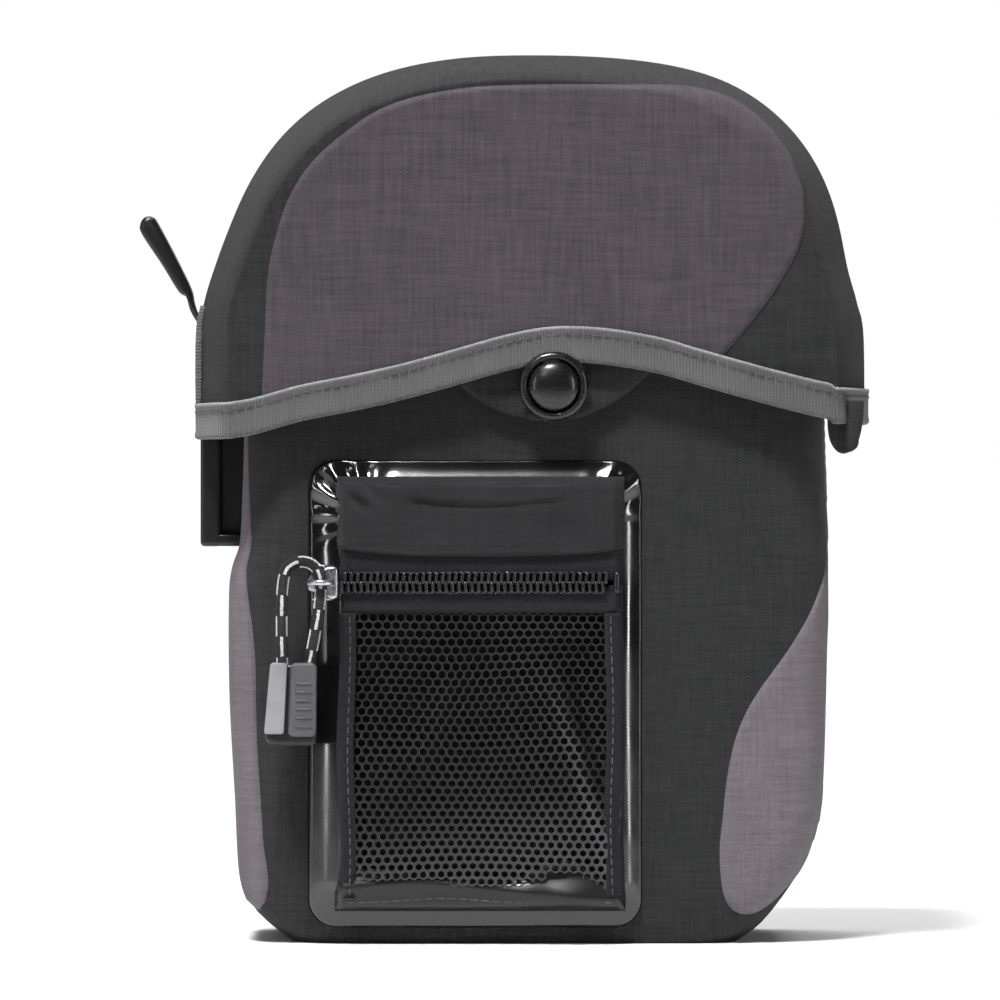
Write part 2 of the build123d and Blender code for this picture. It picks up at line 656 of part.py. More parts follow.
# ---------------------------------------------------------------- mount
rail_foot = (Align.MIN, Align.CENTER, Align.MIN)
with BuildPart() as mount_rail:
    with Locations((RAIL_OUTER_X, 0, RAIL_BOTTOM)):
        Box(FLANGE, FLANGE_WIDTH, RAIL_HEIGHT, align=rail_foot)
        fillet(mount_rail.edges().filter_by(Axis.Y).group_by(Axis.X)[0], RAIL_ROUND)
        Box(RAIL_DEPTH, WEB_WIDTH, RAIL_HEIGHT - RAIL_ROUND, align=rail_foot)
    with Locations((WEB_OUTER_X, 0, RAIL_BOTTOM)):
        Box(RAIL_DEPTH - FLANGE, FLANGE_WIDTH, LIP, align=rail_foot)
    with Locations((RAIL_OUTER_X, 0, SLOT_BOTTOM)):
        Box(SLOT_DEPTH, SLOT_WIDTH, RAIL_TOP, align=rail_foot, mode=Mode.SUBTRACT)
    with Locations((PIN_X, 0, PIN_Z)):
        Cylinder(PIN_R, PIN_LENGTH, rotation=(90, 0, 0), mode=Mode.SUBTRACT)
    screw_bore(SCREW_R, RAIL_OUTER_X, FLANK_X)
    screw_bore(SCREW_SINK_R, RAIL_OUTER_X, RAIL_OUTER_X + SCREW_SINK)
save(mount_rail, "mount_rail")

with BuildPart() as rail_screws:
    screw_bore(SCREW_R, RAIL_OUTER_X + SCREW_SINK, BOARD_INNER_X + NUT + NUT_TAIL, mode=Mode.ADD)
    screw_bore(
        SCREW_HEAD_R, RAIL_OUTER_X + SCREW_SINK - SCREW_HEAD, RAIL_OUTER_X + SCREW_SINK, mode=Mode.ADD
    )
save(rail_screws, "rail_screws")

with BuildPart() as rail_nuts:
    with BuildSketch(Plane(origin=(BOARD_INNER_X, 0, 0), x_dir=(0, 1, 0), z_dir=(1, 0, 0))):
        with Locations(*[(y, z) for y, z in screw_places]):
            RegularPolygon(NUT_R, 6)
            Circle(SCREW_R, mode=Mode.SUBTRACT)
    extrude(amount=NUT)
save(rail_nuts, "rail_nuts")

with BuildPart() as lever_pin:
    with Locations((PIN_X, 0, PIN_Z)):
        Cylinder(PIN_R, PIN_LENGTH, rotation=(90, 0, 0))
save(lever_pin, "lever_pin")

with BuildPart() as release_lever:
    with BuildSketch(front_plane(LEVER_WIDTH / 2)):
        with BuildLine():
            Polyline((PIN_X, PIN_Z), *STEM, PADDLE_TIP[0])
            ThreePointArc(*PADDLE_TIP)
            Polyline(PADDLE_TIP[2], *STEM_BACK, (PIN_X, PIN_Z))
        make_face()
        with Locations((PIN_X, PIN_Z)):
            Circle(KNUCKLE_R)
    extrude(amount=LEVER_WIDTH)
    with Locations((PIN_X, 0, PIN_Z)):
        Cylinder(PIN_R + PIN_CLEARANCE, LEVER_WIDTH, rotation=(90, 0, 0), mode=Mode.SUBTRACT)
        Cylinder(
            SPRING_COIL_R + SPRING_WIRE_R + SPRING_GAP,
            SPRING_PITCH * SPRING_TURNS + 2 * SPRING_WIRE_R + 2 * SPRING_GAP,
            rotation=(90, 0, 0),
            mode=Mode.SUBTRACT,
        )
save(release_lever, "release_lever")

with BuildPart() as lever_spring:
    with BuildLine() as spring_path:
        Helix(
            SPRING_PITCH,
            SPRING_PITCH * SPRING_TURNS,
            SPRING_COIL_R,
            center=(PIN_X, -SPRING_PITCH * SPRING_TURNS / 2, PIN_Z),
            direction=(0, 1, 0),
        )
    with BuildSketch(Plane(spring_path.line @ 0, z_dir=spring_path.line % 0)):
        Circle(SPRING_WIRE_R)
    sweep(path=spring_path.line, is_frenet=True)
save(lever_spring, "lever_spring")
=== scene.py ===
"""Looks of the saddle bag: soft shells, pocket, zip, snap, cord pull and mount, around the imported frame.

Lengths in the shape functions are millimetres in the part's frame; MM turns them into metres.
The sweep, the lights and the camera are in metres.
"""

from math import ceil, cos, pi, radians, sin

import bmesh
import bpy
import numpy as np
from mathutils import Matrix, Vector
from mathutils.geometry import delaunay_2d_cdt


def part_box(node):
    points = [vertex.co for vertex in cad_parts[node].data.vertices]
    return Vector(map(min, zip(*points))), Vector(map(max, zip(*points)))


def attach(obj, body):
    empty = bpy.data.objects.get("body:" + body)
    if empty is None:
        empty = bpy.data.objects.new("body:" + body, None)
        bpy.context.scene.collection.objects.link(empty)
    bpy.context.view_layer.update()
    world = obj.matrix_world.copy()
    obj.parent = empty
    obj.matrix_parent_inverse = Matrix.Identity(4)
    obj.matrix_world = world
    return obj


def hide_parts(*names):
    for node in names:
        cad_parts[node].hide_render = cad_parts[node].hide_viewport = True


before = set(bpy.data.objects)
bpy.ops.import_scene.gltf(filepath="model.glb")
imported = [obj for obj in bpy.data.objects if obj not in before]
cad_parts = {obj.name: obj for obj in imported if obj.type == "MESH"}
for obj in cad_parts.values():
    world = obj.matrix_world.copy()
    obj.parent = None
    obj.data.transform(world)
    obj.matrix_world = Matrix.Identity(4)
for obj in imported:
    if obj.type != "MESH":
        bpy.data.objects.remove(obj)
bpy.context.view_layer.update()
MM = 0.001
CURVE_SAMPLES = 200
ROUND_STEPS = 64
CORNER_STEPS = 7
SHELL_WALL = 1.8
PANEL_WALL = 0.5


def node_box(node):
    """Lowest and highest corner of a CAD node, in millimetres."""
    low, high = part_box(node)
    return np.array(low) / MM, np.array(high) / MM


# ---- sizes read from the frame
BODY_LOW, BODY_HIGH = node_box("front_panel")
BODY_FRONT = BODY_LOW[1]
BACK_HIGH = node_box("back_panel")[1]
BODY_BACK = BACK_HIGH[1]
BODY_TOP = BODY_HIGH[2]
LID_HIGH = node_box("lid_gusset")[1]
LID_REAR = LID_HIGH[1]
LID_TOP = LID_HIGH[2]
LID_HALF = LID_HIGH[0]
LID_FRONT = node_box("lid_front_panel")[0][1]
TRIM_HIGH = node_box("lid_edge_trim")[1]
NOTCH_Y = TRIM_HIGH[1] - 0.8
NOTCH_TOP = TRIM_HIGH[2]
SNAP_LOW, SNAP_HIGH = node_box("snap_ring")
SNAP_CENTRE = (SNAP_LOW + SNAP_HIGH) / 2
FRAME_LOW, FRAME_HIGH = node_box("pocket_frame")
MESH_LOW, MESH_HIGH = node_box("mesh_panel")
UPPER_LOW, UPPER_HIGH = node_box("pocket_upper_panel")
COIL_LOW, COIL_HIGH = node_box("zip_coil_lower")
COIL_UP_HIGH = node_box("zip_coil_upper")[1]
ZIP_Z = (COIL_LOW[2] + COIL_UP_HIGH[2]) / 2
SLIDER_LOW, SLIDER_HIGH = node_box("zip_slider")
GRIP_LOW, GRIP_HIGH = node_box("pull_grip")
LEVER_LOW, LEVER_HIGH = node_box("release_lever")
PANEL_FRONT = MESH_LOW[1]
PULL_Y = (GRIP_LOW[1] + GRIP_HIGH[1]) / 2


# ---- curves
def smooth(points, count, closed=False):
    """A Catmull-Rom curve through the points, as count samples."""
    p = np.array(points, float)
    if closed:
        p = np.vstack([p[-1], p, p[0], p[1]])
    else:
        p = np.vstack([2 * p[0] - p[1], p, 2 * p[-1] - p[-2]])
    spans = len(p) - 3
    out = []
    for u in np.linspace(0, spans, count, endpoint=not closed):
        i = min(int(u), spans - 1)
        t = u - i
        a, b, c, d = p[i:i + 4]
        out.append(0.5 * (2 * b + (c - a) * t + (2 * a - 5 * b + 4 * c - d) * t * t
                          + (3 * b - a - 3 * c + d) * t ** 3))
    return np.array(out)


def run_along(path):
    """The length along a path to each of its points."""
    return np.concatenate([[0], np.cumsum(np.linalg.norm(np.diff(path, axis=0), axis=1))])


def even(points, step, closed=False):
    """The same polyline with points an even step apart."""
    p = np.array(points, float)
    if closed:
        p = np.vstack([p, p[0]])
    run = run_along(p)
    at = np.linspace(0, run[-1], max(3, int(ceil(run[-1] / step)) + 1))
    out = np.stack([np.interp(at, run, p[:, k]) for k in range(p.shape[1])], axis=1)
    return out[:-1] if closed else out


def profile(points):
    """A smooth function through (input, output) points."""
    curve = smooth(points, CURVE_SAMPLES)
    order = np.argsort(curve[:, 0])
    return lambda value: np.interp(value, curve[order, 0], curve[order, 1])


def ease(value):
    """Smooth step from 0 to 1."""
    t = np.clip(value, 0, 1)
    return t * t * (3 - 2 * t)


def bell(away, width):
    """A smooth hump, 1 at its middle."""
    return np.exp(-(away / width) ** 2)


def hump(x, width, z, height):
    """A smooth hump over two directions, 1 at its middle."""
    return np.exp(-((x / width) ** 2 + (z / height) ** 2))


def ripple(x, z, seed, waves=6, size=30.0):
    """A gentle bumpy field between about -1 and 1, made of seeded waves."""
    rng = np.random.default_rng(seed)
    total = np.zeros(np.broadcast(x, z).shape)
    for _ in range(waves):
        angle, phase = rng.uniform(0, 2 * pi, 2)
        length = size * rng.uniform(0.6, 1.6)
        total = total + np.sin((x * cos(angle) + z * sin(angle)) * 2 * pi / length + phase)
    return total / waves


# ---- mesh helpers
def finish_piece(obj, body, slot, nodes=(), look=None, smooth_faces=True):
    """Gives a piece the material of its slot, or of its look where one is named, puts it under its body and
    hides the CAD nodes it stands for.
    """
    obj.data.materials.append(MATERIALS[look or slot])
    if smooth_faces:
        obj.data.shade_smooth()
    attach(obj, body)
    if nodes:
        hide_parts(*nodes)
    return obj


def link(name, data):
    """A new object in the scene."""
    obj = bpy.data.objects.new(name, data)
    bpy.context.scene.collection.objects.link(obj)
    return obj


def edit(obj, change):
    """Runs a change on the mesh of a piece."""
    bm = bmesh.new()
    bm.from_mesh(obj.data)
    change(bm)
    bm.to_mesh(obj.data)
    bm.free()


def plain_object(name, verts, faces):
    """A mesh object from points in millimetres, which keep their order."""
    mesh = bpy.data.meshes.new(name)
    mesh.from_pydata([tuple(float(c) * MM for c in v) for v in verts], [], [tuple(f) for f in faces])
    mesh.validate()
    return link(name, mesh)


def make_object(name, verts, faces):
    """A mesh object with its doubled points joined and its faces turned outwards."""
    def clean(bm):
        bmesh.ops.remove_doubles(bm, verts=bm.verts, dist=1e-7)
        bmesh.ops.recalc_face_normals(bm, faces=bm.faces)
    obj = plain_object(name, verts, faces)
    edit(obj, clean)
    return obj


def thicken(obj, thickness, offset=-1.0, even_wall=True):
    """Turns a sheet into a closed wall of that thickness, in millimetres."""
    wall = obj.modifiers.new("wall", "SOLIDIFY")
    wall.thickness = thickness * MM
    wall.offset = offset
    wall.use_even_offset = even_wall
    return wall


def grid_faces(rows, columns, closed=False):
    """Quads of a grid of points stored row by row."""
    faces = []
    for r in range(rows - 1):
        for c in range(columns if closed else columns - 1):
            d = (c + 1) % columns
            faces.append((r * columns + c, r * columns + d, (r + 1) * columns + d, (r + 1) * columns + c))
    return faces


def closed_faces(rings, count):
    """Faces of a stack of closed rings with a cap on each end."""
    return grid_faces(rings, count, closed=True) + [tuple(range(count)),
                                                    tuple(range((rings - 1) * count, rings * count))]


def inside(points, outline):
    """Which points lie inside a closed outline."""
    x, z = points[:, 0], points[:, 1]
    hit = np.zeros(len(points), bool)
    before = outline[-1]
    for corner in outline:
        crosses = (corner[1] > z) != (before[1] > z)
        with np.errstate(divide="ignore", invalid="ignore"):
            at = (before[0] - corner[0]) * (z - corner[1]) / (before[1] - corner[1]) + corner[0]
        hit ^= crosses & (x < at)
        before = corner
    return hit


def edge_distance(points, outline):
    """How far each point is from a closed outline."""
    best = np.full(len(points), 1e9)
    for a, b in zip(outline, np.roll(outline, -1, axis=0)):
        run = b - a
        t = np.clip(((points - a) @ run) / max(run @ run, 1e-12), 0, 1)
        best = np.minimum(best, np.linalg.norm(points - (a + t[:, None] * run), axis=1))
    return best


def patch(name, outline, spacing, lift):
    """A sheet that fills an outline in (u, v). lift gives 3-D points from (points, distance to the edge)."""
    edge = even(outline, spacing, closed=True)
    low, high = edge.min(axis=0), edge.max(axis=0)
    u = np.arange(low[0] + spacing / 2, high[0], spacing)
    v = np.arange(low[1] + spacing / 2, high[1], spacing * 0.87)
    field = np.array([(a + (spacing / 2 if k % 2 else 0), b) for k, b in enumerate(v) for a in u])
    field = field[inside(field, edge)]
    field = field[edge_distance(field, edge) > spacing * 0.55]
    points = np.vstack([edge, field])
    loop = [list(range(len(edge)))]
    made = delaunay_2d_cdt([Vector(p) for p in points], [], loop, 1, 1e-6)
    flat = np.array([tuple(p) for p in made[0]])
    return make_object(name, lift(flat, edge_distance(flat, edge)), made[2])


def cloth(name, outline, spacing, skin, wall, *finish, look=None):
    """A patch over (x, z) with a closed wall. skin(x, z, edge) gives its y; finish goes to finish_piece."""
    def lift(points, edge):
        x, z = points[:, 0], points[:, 1]
        return np.stack([x, skin(x, z, edge), z], 1)
    piece = patch(name, outline, spacing, lift)
    thicken(piece, wall)
    return finish_piece(piece, *finish, look=look)


def tube(path, radius, sides=8, capped=True):
    """Points and faces of a round tube along a list of points, radius a number or one per point."""
    path = np.array(path, float)
    radii = np.broadcast_to(radius, (len(path),))
    ahead = np.gradient(path, axis=0)
    ahead /= np.linalg.norm(ahead, axis=1)[:, None]
    side = np.cross(ahead[0], (0.0, 0.0, 1.0) if abs(ahead[0][2]) < 0.9 else (0.0, 1.0, 0.0))
    verts = []
    for k, point in enumerate(path):
        side = side - ahead[k] * (side @ ahead[k])
        side /= np.linalg.norm(side)
        up = np.cross(ahead[k], side)
        for j in range(sides):
            a = 2 * pi * j / sides
            verts.append(point + radii[k] * (cos(a) * side + sin(a) * up))
    if capped:
        return verts, closed_faces(len(path), sides)
    return verts, grid_faces(len(path), sides, closed=True)


def join_parts(parts):
    """One list of points and faces from several."""
    verts, faces = [], []
    for more_verts, more_faces in parts:
        base = len(verts)
        verts.extend(more_verts)
        faces.extend(tuple(base + i for i in f) for f in more_faces)
    return verts, faces


def stitches(path, normals, length, gap, radius):
    """A dashed row of small thread ends along a path of 3-D points."""
    proud = 0.05
    run = run_along(path)
    parts = []
    at = gap
    while at + length < run[-1]:
        bits = []
        for t, lift in ((0.0, -0.2), (0.15, 0.75), (0.5, 1.0), (0.85, 0.75), (1.0, -0.2)):
            place = at + t * length
            point = np.array([np.interp(place, run, path[:, k]) for k in range(3)])
            normal = np.array([np.interp(place, run, normals[:, k]) for k in range(3)])
            bits.append(point + normal * (proud + lift * radius))
        parts.append(tube(bits, [radius * 0.6, radius, radius, radius, radius * 0.6], 6))
        at += length + gap
    return join_parts(parts)


def front_stitches(name, x, y, z, size, look):
    """A row of stitches on the pocket's front. size is their length, gap and radius."""
    path = np.stack([x, y, z], 1)
    verts, faces = stitches(path, np.tile((0, -1, 0), (len(path), 1)), *size)
    finish_piece(make_object(name, verts, faces), "bag", "black_nylon", look=look)


def revolve(name, points, centre):
    """A round piece about an axis along Y through centre, from (radius, y) pairs."""
    verts = []
    for radius, y in points:
        for k in range(ROUND_STEPS):
            a = 2 * pi * k / ROUND_STEPS
            verts.append((centre[0] + radius * cos(a), y, centre[2] + radius * sin(a)))
    return make_object(name, verts, grid_faces(len(points), ROUND_STEPS, closed=True))


# ---- materials
class Graph:
    """Short calls for building a material's nodes."""

    def __init__(self, name):
        self.material = bpy.data.materials.new(name)
        self.material.use_nodes = True
        self.nodes = self.material.node_tree.nodes
        self.links = self.material.node_tree.links
        self.shader = self.nodes["Principled BSDF"]

    def put(self, socket, value):
        if isinstance(value, bpy.types.NodeSocket):
            self.links.new(value, socket)
        else:
            socket.default_value = value

    def math(self, operation, *values):
        node = self.nodes.new("ShaderNodeMath")
        node.operation = operation
        for socket, value in zip(node.inputs, values):
            self.put(socket, value)
        return node.outputs[0]

    def mul(self, a, b):
        return self.math("MULTIPLY", a, b)

    def mad(self, a, b, c):
        return self.math("MULTIPLY_ADD", a, b, c)

    def set(self, name, value):
        self.put(self.shader.inputs[name], value)

    def place(self, kind="Object"):
        return self.nodes.new("ShaderNodeTexCoord").outputs[kind]

    def split(self, vector):
        node = self.nodes.new("ShaderNodeSeparateXYZ")
        self.put(node.inputs[0], vector)
        return node.outputs[0], node.outputs[1], node.outputs[2]

    def attribute(self, name):
        node = self.nodes.new("ShaderNodeAttribute")
        node.attribute_name = name
        return node.outputs["Fac"]

    def noise(self, stretch, detail=2.0, rough=0.6):
        """Noise over the piece's own place, from one scale or three, in waves per metre."""
        mapping = self.nodes.new("ShaderNodeMapping")
        self.put(mapping.inputs["Vector"], self.place())
        mapping.inputs["Scale"].default_value = np.broadcast_to(stretch, 3)
        node = self.nodes.new("ShaderNodeTexNoise")
        node.inputs["Scale"].default_value = 1.0
        node.inputs["Detail"].default_value = detail
        node.inputs["Roughness"].default_value = rough
        self.put(node.inputs["Vector"], mapping.outputs[0])
        return node.outputs["Fac"]

    def ramp(self, value, low, high, low_out, high_out):
        node = self.nodes.new("ShaderNodeMapRange")
        for socket, v in zip(node.inputs, (value, low, high, low_out, high_out)):
            self.put(socket, v)
        return node.outputs[0]

    def mix(self, factor, a, b):
        node = self.nodes.new("ShaderNodeMix")
        node.data_type = "RGBA"
        self.put(node.inputs["Factor"], factor)
        self.put(node.inputs["A"], a)
        self.put(node.inputs["B"], b)
        return node.outputs["Result"]

    def tint(self, color, amount):
        """A colour brightened or darkened by a number."""
        node = self.nodes.new("ShaderNodeVectorMath")
        node.operation = "SCALE"
        self.put(node.inputs[0], color if isinstance(color, bpy.types.NodeSocket) else color[:3])
        self.put(node.inputs["Scale"], amount)
        return node.outputs[0]

    def paint(self, color, field, dark, pale):
        """A base colour that drifts between two shares of itself with a field."""
        self.set("Base Color", self.tint(color, self.ramp(field, 0.3, 0.7, dark, pale)))

    def bump(self, height, distance):
        node = self.nodes.new("ShaderNodeBump")
        node.inputs["Distance"].default_value = distance * MM
        node.inputs["Strength"].default_value = 1.0
        self.put(node.inputs["Height"], height)
        self.links.new(node.outputs[0], self.shader.inputs["Normal"])

    def weave(self, pitch):
        """Plain weave, over and under, on whichever way the surface faces: about -1 to 1."""
        facing = [self.mul(n, n) for n in self.split(self.place("Normal"))]
        waves = [self.math("SINE", self.mul(c, 2 * pi / (pitch * MM)))
                 for c in self.split(self.place())]
        total = 0.0
        for k in range(3):
            pair = self.mul(waves[(k + 1) % 3], waves[(k + 2) % 3])
            total = self.mad(pair, facing[k], total)
        return total


def rgb(red, green, blue):
    """A colour from its 0 to 255 screen values."""
    return tuple(((c / 255 + 0.055) / 1.055) ** 2.4 for c in (red, green, blue)) + (1.0,)


def fabric(name, color, pitch, contrast, depth, slub=0.35, rough=0.92, sheen=0.03, tone=None):
    """Woven cloth: threads, slubs along both yarns, mottling and slight wear; where an attribute is named,
    painted light and shade from it scale the colour.
    """
    g = Graph(name)
    threads = g.weave(pitch)
    slubs = 0.0
    for axis, along in enumerate(g.split(g.place("Normal"))):
        yarn = g.noise([1300 if k == axis else 80 for k in range(3)])
        seen = g.ramp(g.mul(along, along), 0.1, 0.5, 1.0, 0.0)
        slubs = g.mad(g.math("SUBTRACT", yarn, 0.5), seen, slubs)
    mottle = g.noise(24, detail=4)
    light = g.mad(threads, contrast, 1.0)
    light = g.mad(slubs, slub * 3.0, light)
    light = g.mad(g.math("SUBTRACT", mottle, 0.5), 0.35, light)
    # Painted light and shade: the colour is scaled by the named per-point attribute.
    if tone:
        light = g.mul(light, g.attribute(tone))
    g.set("Base Color", g.tint(color, light))
    g.set("Roughness", g.ramp(mottle, 0.3, 0.7, rough - 0.06, min(1.0, rough + 0.05)))
    g.set("Specular IOR Level", 0.2)
    g.set("Sheen Weight", sheen)
    g.set("Sheen Roughness", 0.5)
    g.bump(g.mad(slubs, 0.8, threads), depth)
    return g.material


SCUFF = 0.12


def plastic(name, color, rough, grain=0.0, coat=0.0):
    """Moulded plastic with fine grain, uneven gloss and faint scuffs."""
    g = Graph(name)
    cloud = g.noise(60, detail=5)
    fine = g.noise(2600, detail=1)
    scratches = g.noise((180, 900, 2400), detail=3)
    g.paint(color, cloud, 0.85, 1.2)
    uneven = g.ramp(scratches, 0.45, 0.75, rough, min(1.0, rough + SCUFF))
    g.set("Roughness", uneven)
    g.set("Coat Weight", coat)
    g.set("Coat Roughness", 0.08)
    g.bump(g.mad(cloud, 0.4, fine), grain)
    return g.material


def metal(name, color, rough):
    """Cast or drawn metal with fine pits and worn, uneven polish."""
    g = Graph(name)
    cloud = g.noise(300, detail=4)
    g.paint(color, cloud, 0.75, 1.1)
    g.set("Roughness", g.ramp(cloud, 0.35, 0.7, rough, rough + 0.2))
    g.set("Metallic", 1.0)
    g.bump(cloud, 0.03)
    return g.material


def tape_material():
    """Grosgrain binding tape: cross ribs, a paler bead along both edges."""
    g = Graph("grey_tape")
    across = g.attribute("across")
    along = g.attribute("along")
    ribs = g.math("SINE", g.mul(along, 2 * pi / 0.9))
    threads = g.weave(0.9)
    pale = g.ramp(across, 0.90, 0.97, 0.0, 1.0)
    mottle = g.noise(45, detail=4)
    light = g.mad(ribs, 0.06, g.mad(threads, 0.10, 1.0))
    light = g.mad(g.math("SUBTRACT", mottle, 0.5), 0.5, light)
    color = g.mix(pale, rgb(90, 90, 91), rgb(156, 156, 156))
    g.set("Base Color", g.tint(color, light))
    g.set("Roughness", 0.85)
    g.set("Sheen Weight", 0.2)
    g.bump(g.math("ADD", ribs, threads), 0.12)
    return g.material


def frame_film():
    """Glossy welded film over cloth: crumpled highlights and a faint weave showing through."""
    g = Graph("gloss_frame")
    crumple = g.noise(40, detail=2, rough=0.4)
    weave = g.weave(0.9)
    g.paint(rgb(13, 13, 14), crumple, 0.7, 1.4)
    g.set("Roughness", g.ramp(crumple, 0.35, 0.75, 0.10, 0.2))
    g.set("Specular IOR Level", 1.0)
    g.bump(g.mad(weave, 0.02, crumple), 0.08)
    return g.material


def cord_material():
    """Braided cord: dark jacket with pale flecks that run round it in two directions."""
    g = Graph("cord")
    along = g.attribute("along")
    strand = g.mul(g.attribute("around"), 3.0)
    index = g.math("FLOOR", strand)
    middle = g.math("ABSOLUTE", g.math("SUBTRACT", g.math("FRACT", strand), 0.5))
    turn = g.mad(along, 1 / 11.0, g.mul(index, 0.5))
    ragged = g.mad(g.noise(900), 0.5, -0.25)
    dash = g.math("GREATER_THAN", g.math("ADD", g.math("SINE", g.mul(turn, 2 * pi)), ragged), 0.05)
    narrow = g.math("LESS_THAN", g.mad(ragged, 0.5, middle), 0.24)
    fleck = g.mul(dash, narrow)
    braid = g.math("SINE", g.mad(along, 2 * pi / 0.9, g.mul(strand, pi)))
    fuzz = g.noise(3000)
    color = g.mix(fleck, rgb(26, 26, 28), rgb(225, 225, 223))
    g.paint(color, fuzz, 0.75, 1.15)
    g.set("Roughness", 0.7)
    g.bump(g.mad(fuzz, 0.3, g.math("ABSOLUTE", braid)), 0.3)
    return g.material


MATERIALS = {
    "dark_canvas": fabric("dark_canvas", rgb(49, 49, 50), 0.85, 0.6, 0.2, slub=0.32),
    "mauve_canvas": fabric("mauve_canvas", rgb(80, 74, 78), 0.85, 0.4, 0.2, slub=0.25),
    # A lighter copy of the mauve canvas: painted light for the flanks, which turn towards the side lights.
    "painted_lit_mauve_canvas": fabric("painted_lit_mauve_canvas", rgb(112, 106, 110), 0.85, 0.25, 0.15, slub=0.2),
    "black_nylon": fabric("black_nylon", rgb(31, 31, 33), 0.5, 0.4, 0.08, slub=0.35, rough=0.55, sheen=0.1),
    "tape_nylon": fabric("tape_nylon", rgb(34, 34, 36), 0.9, 0.35, 0.14, slub=0.2, rough=0.8),
    # The net's colour is scaled by its painted light and shade, stored per point.
    "black_mesh": fabric("black_mesh", rgb(58, 58, 59), 0.35, 0.2, 0.05, slub=0.1, rough=0.5, sheen=0.1,
                         tone="tone"),
    "gloss_frame": frame_film(),
    "grey_tape": tape_material(),
    "pocket_satin": plastic("pocket_satin", rgb(22, 22, 23), 0.34, grain=0.03, coat=0.1),
    "thread": fabric("thread", rgb(88, 88, 90), 0.5, 0.2, 0.03),
    "pale_thread": fabric("pale_thread", rgb(58, 58, 60), 0.5, 0.2, 0.03),
    "black_coil": plastic("black_coil", rgb(34, 34, 36), 0.16, grain=0.01),
    "gloss_black": plastic("gloss_black", rgb(18, 18, 19), 0.26, coat=0.25),
    "bright_metal": metal("bright_metal", rgb(205, 205, 208), 0.22),
    "cord": cord_material(),
    "dark_plastic": plastic("dark_plastic", rgb(24, 24, 25), 0.3, grain=0.02),
    "grip_plastic": plastic("grip_plastic", rgb(84, 84, 86), 0.5, grain=0.03),
    # Pale grey plastic for the grip's clip, made paler still as painted light on the side of the grip that
    # faces the light.
    "light_plastic": plastic("light_plastic", rgb(142, 142, 144), 0.45, grain=0.03),
    "board": plastic("board", rgb(60, 60, 62), 0.6, grain=0.03),
    # Painted shade: a near-black cloth that stands for the shade inside the pocket behind the net.
    "painted_shade_sheet": fabric("painted_shade_sheet", rgb(14, 14, 15), 0.8, 0.2, 0.05, rough=0.95, sheen=0.0),
}

# ---- bag body
SECTION_POWER = 7.0
SKIN_STEPS = 720
GIRTH_HALF_WIDTH = 80
GIRTH_HALF_DEPTH = 50
LEFT_SIDE = profile([(-6, -60), (0, -65.5), (3.5, -70), (8.8, -75.6), (17.4, -79.1), (39, -80.4), (66, -81.8),
                     (92.5, -81.8), (101, -80.9), (107, -78.9), (116, -78.2), (136, -77.6), (184, -76.5),
                     (200, -76)])
RIGHT_SIDE = profile([(-6, 48), (0, 56), (5.4, 63), (17.4, 72), (28, 76.3), (41.5, 78.6), (79, 79.8),
                      (92.5, 80.1), (130, 79.4), (184, 77.5), (200, 77)])
HALF_DEPTH = profile([(-6, 40), (0, 46.2), (2.5, 48.0), (6, 49.2), (12, 49.8), (40, 50), (184, 50),
                      (200, 50)])


def unit_section(count):
    """The bag's section as a unit superellipse, evenly spaced from the front's middle to the right."""
    angle = np.linspace(0, 2 * pi, 4000)
    power = 2 / SECTION_POWER
    x = np.sign(np.sin(angle)) * np.abs(np.sin(angle)) ** power
    y = -np.sign(np.cos(angle)) * np.abs(np.cos(angle)) ** power
    run = run_along(np.stack([x * GIRTH_HALF_WIDTH, y * GIRTH_HALF_DEPTH], 1))
    at = np.linspace(0, run[-1], count, endpoint=False)
    return np.interp(at, run, x), np.interp(at, run, y), run[-1]


UNIT_X, UNIT_Y, GIRTH = unit_section(SKIN_STEPS)
UNIT_TURN = np.arange(SKIN_STEPS) / SKIN_STEPS * GIRTH


def body_point(turn, z, raised=0.0):
    """A point of the bag's skin at a distance round from the front's middle, right being positive."""
    turn = np.mod(turn, GIRTH)
    x = np.interp(turn, UNIT_TURN, UNIT_X, period=GIRTH)
    y = np.interp(turn, UNIT_TURN, UNIT_Y, period=GIRTH)
    half = np.where(x < 0, -LEFT_SIDE(z), RIGHT_SIDE(z))
    sag = 0.5 * ripple(turn, z, 4, size=70.0)
    away = np.stack([np.sign(x) * np.abs(x) ** 6, np.sign(y) * np.abs(y) ** 6], axis=-1)
    away /= np.linalg.norm(away, axis=-1)[..., None]
    flat = np.stack([x * half, y * HALF_DEPTH(z)], axis=-1)
    flat = flat + away * np.asarray(raised - 0.2 + sag * 0.5)[..., None]
    return np.concatenate([flat, np.broadcast_to(z, np.shape(x))[..., None]], axis=-1)


def turn_at(x, z):
    """The distance round at which the front of the bag reaches an x."""
    half = RIGHT_SIDE(z) if x > 0 else -LEFT_SIDE(z)
    quarter = UNIT_TURN[:SKIN_STEPS // 4]
    reach = np.interp(min(abs(x) / half, 0.9995), UNIT_X[:SKIN_STEPS // 4], quarter)
    return reach if x > 0 else -reach


def make_body():
    """The dark shell of the bag, closed at its base and open at its mouth."""
    columns = 240
    turns = np.linspace(0, GIRTH, columns, endpoint=False)
    heights = np.concatenate([[0, 0.6, 1.5, 3, 5, 8, 12], np.linspace(17, BODY_TOP, 52)])
    verts = np.concatenate([body_point(turns, np.full(columns, z)) for z in heights])
    verts[:columns, 2] = 0.0
    faces = grid_faces(len(heights), columns, closed=True)
    inner = verts[:columns] * (0.93, 0.93, 1.0)
    base = len(verts)
    verts = np.vstack([verts, inner])
    faces += [(c, (c + 1) % columns, base + (c + 1) % columns, base + c) for c in range(columns)]
    faces.append(tuple(range(base, base + columns)))
    shell = make_object("bag_shell", verts, faces)
    thicken(shell, SHELL_WALL)
    finish_piece(shell, "bag", "dark_canvas", ("front_panel", "back_panel", "base_panel"))


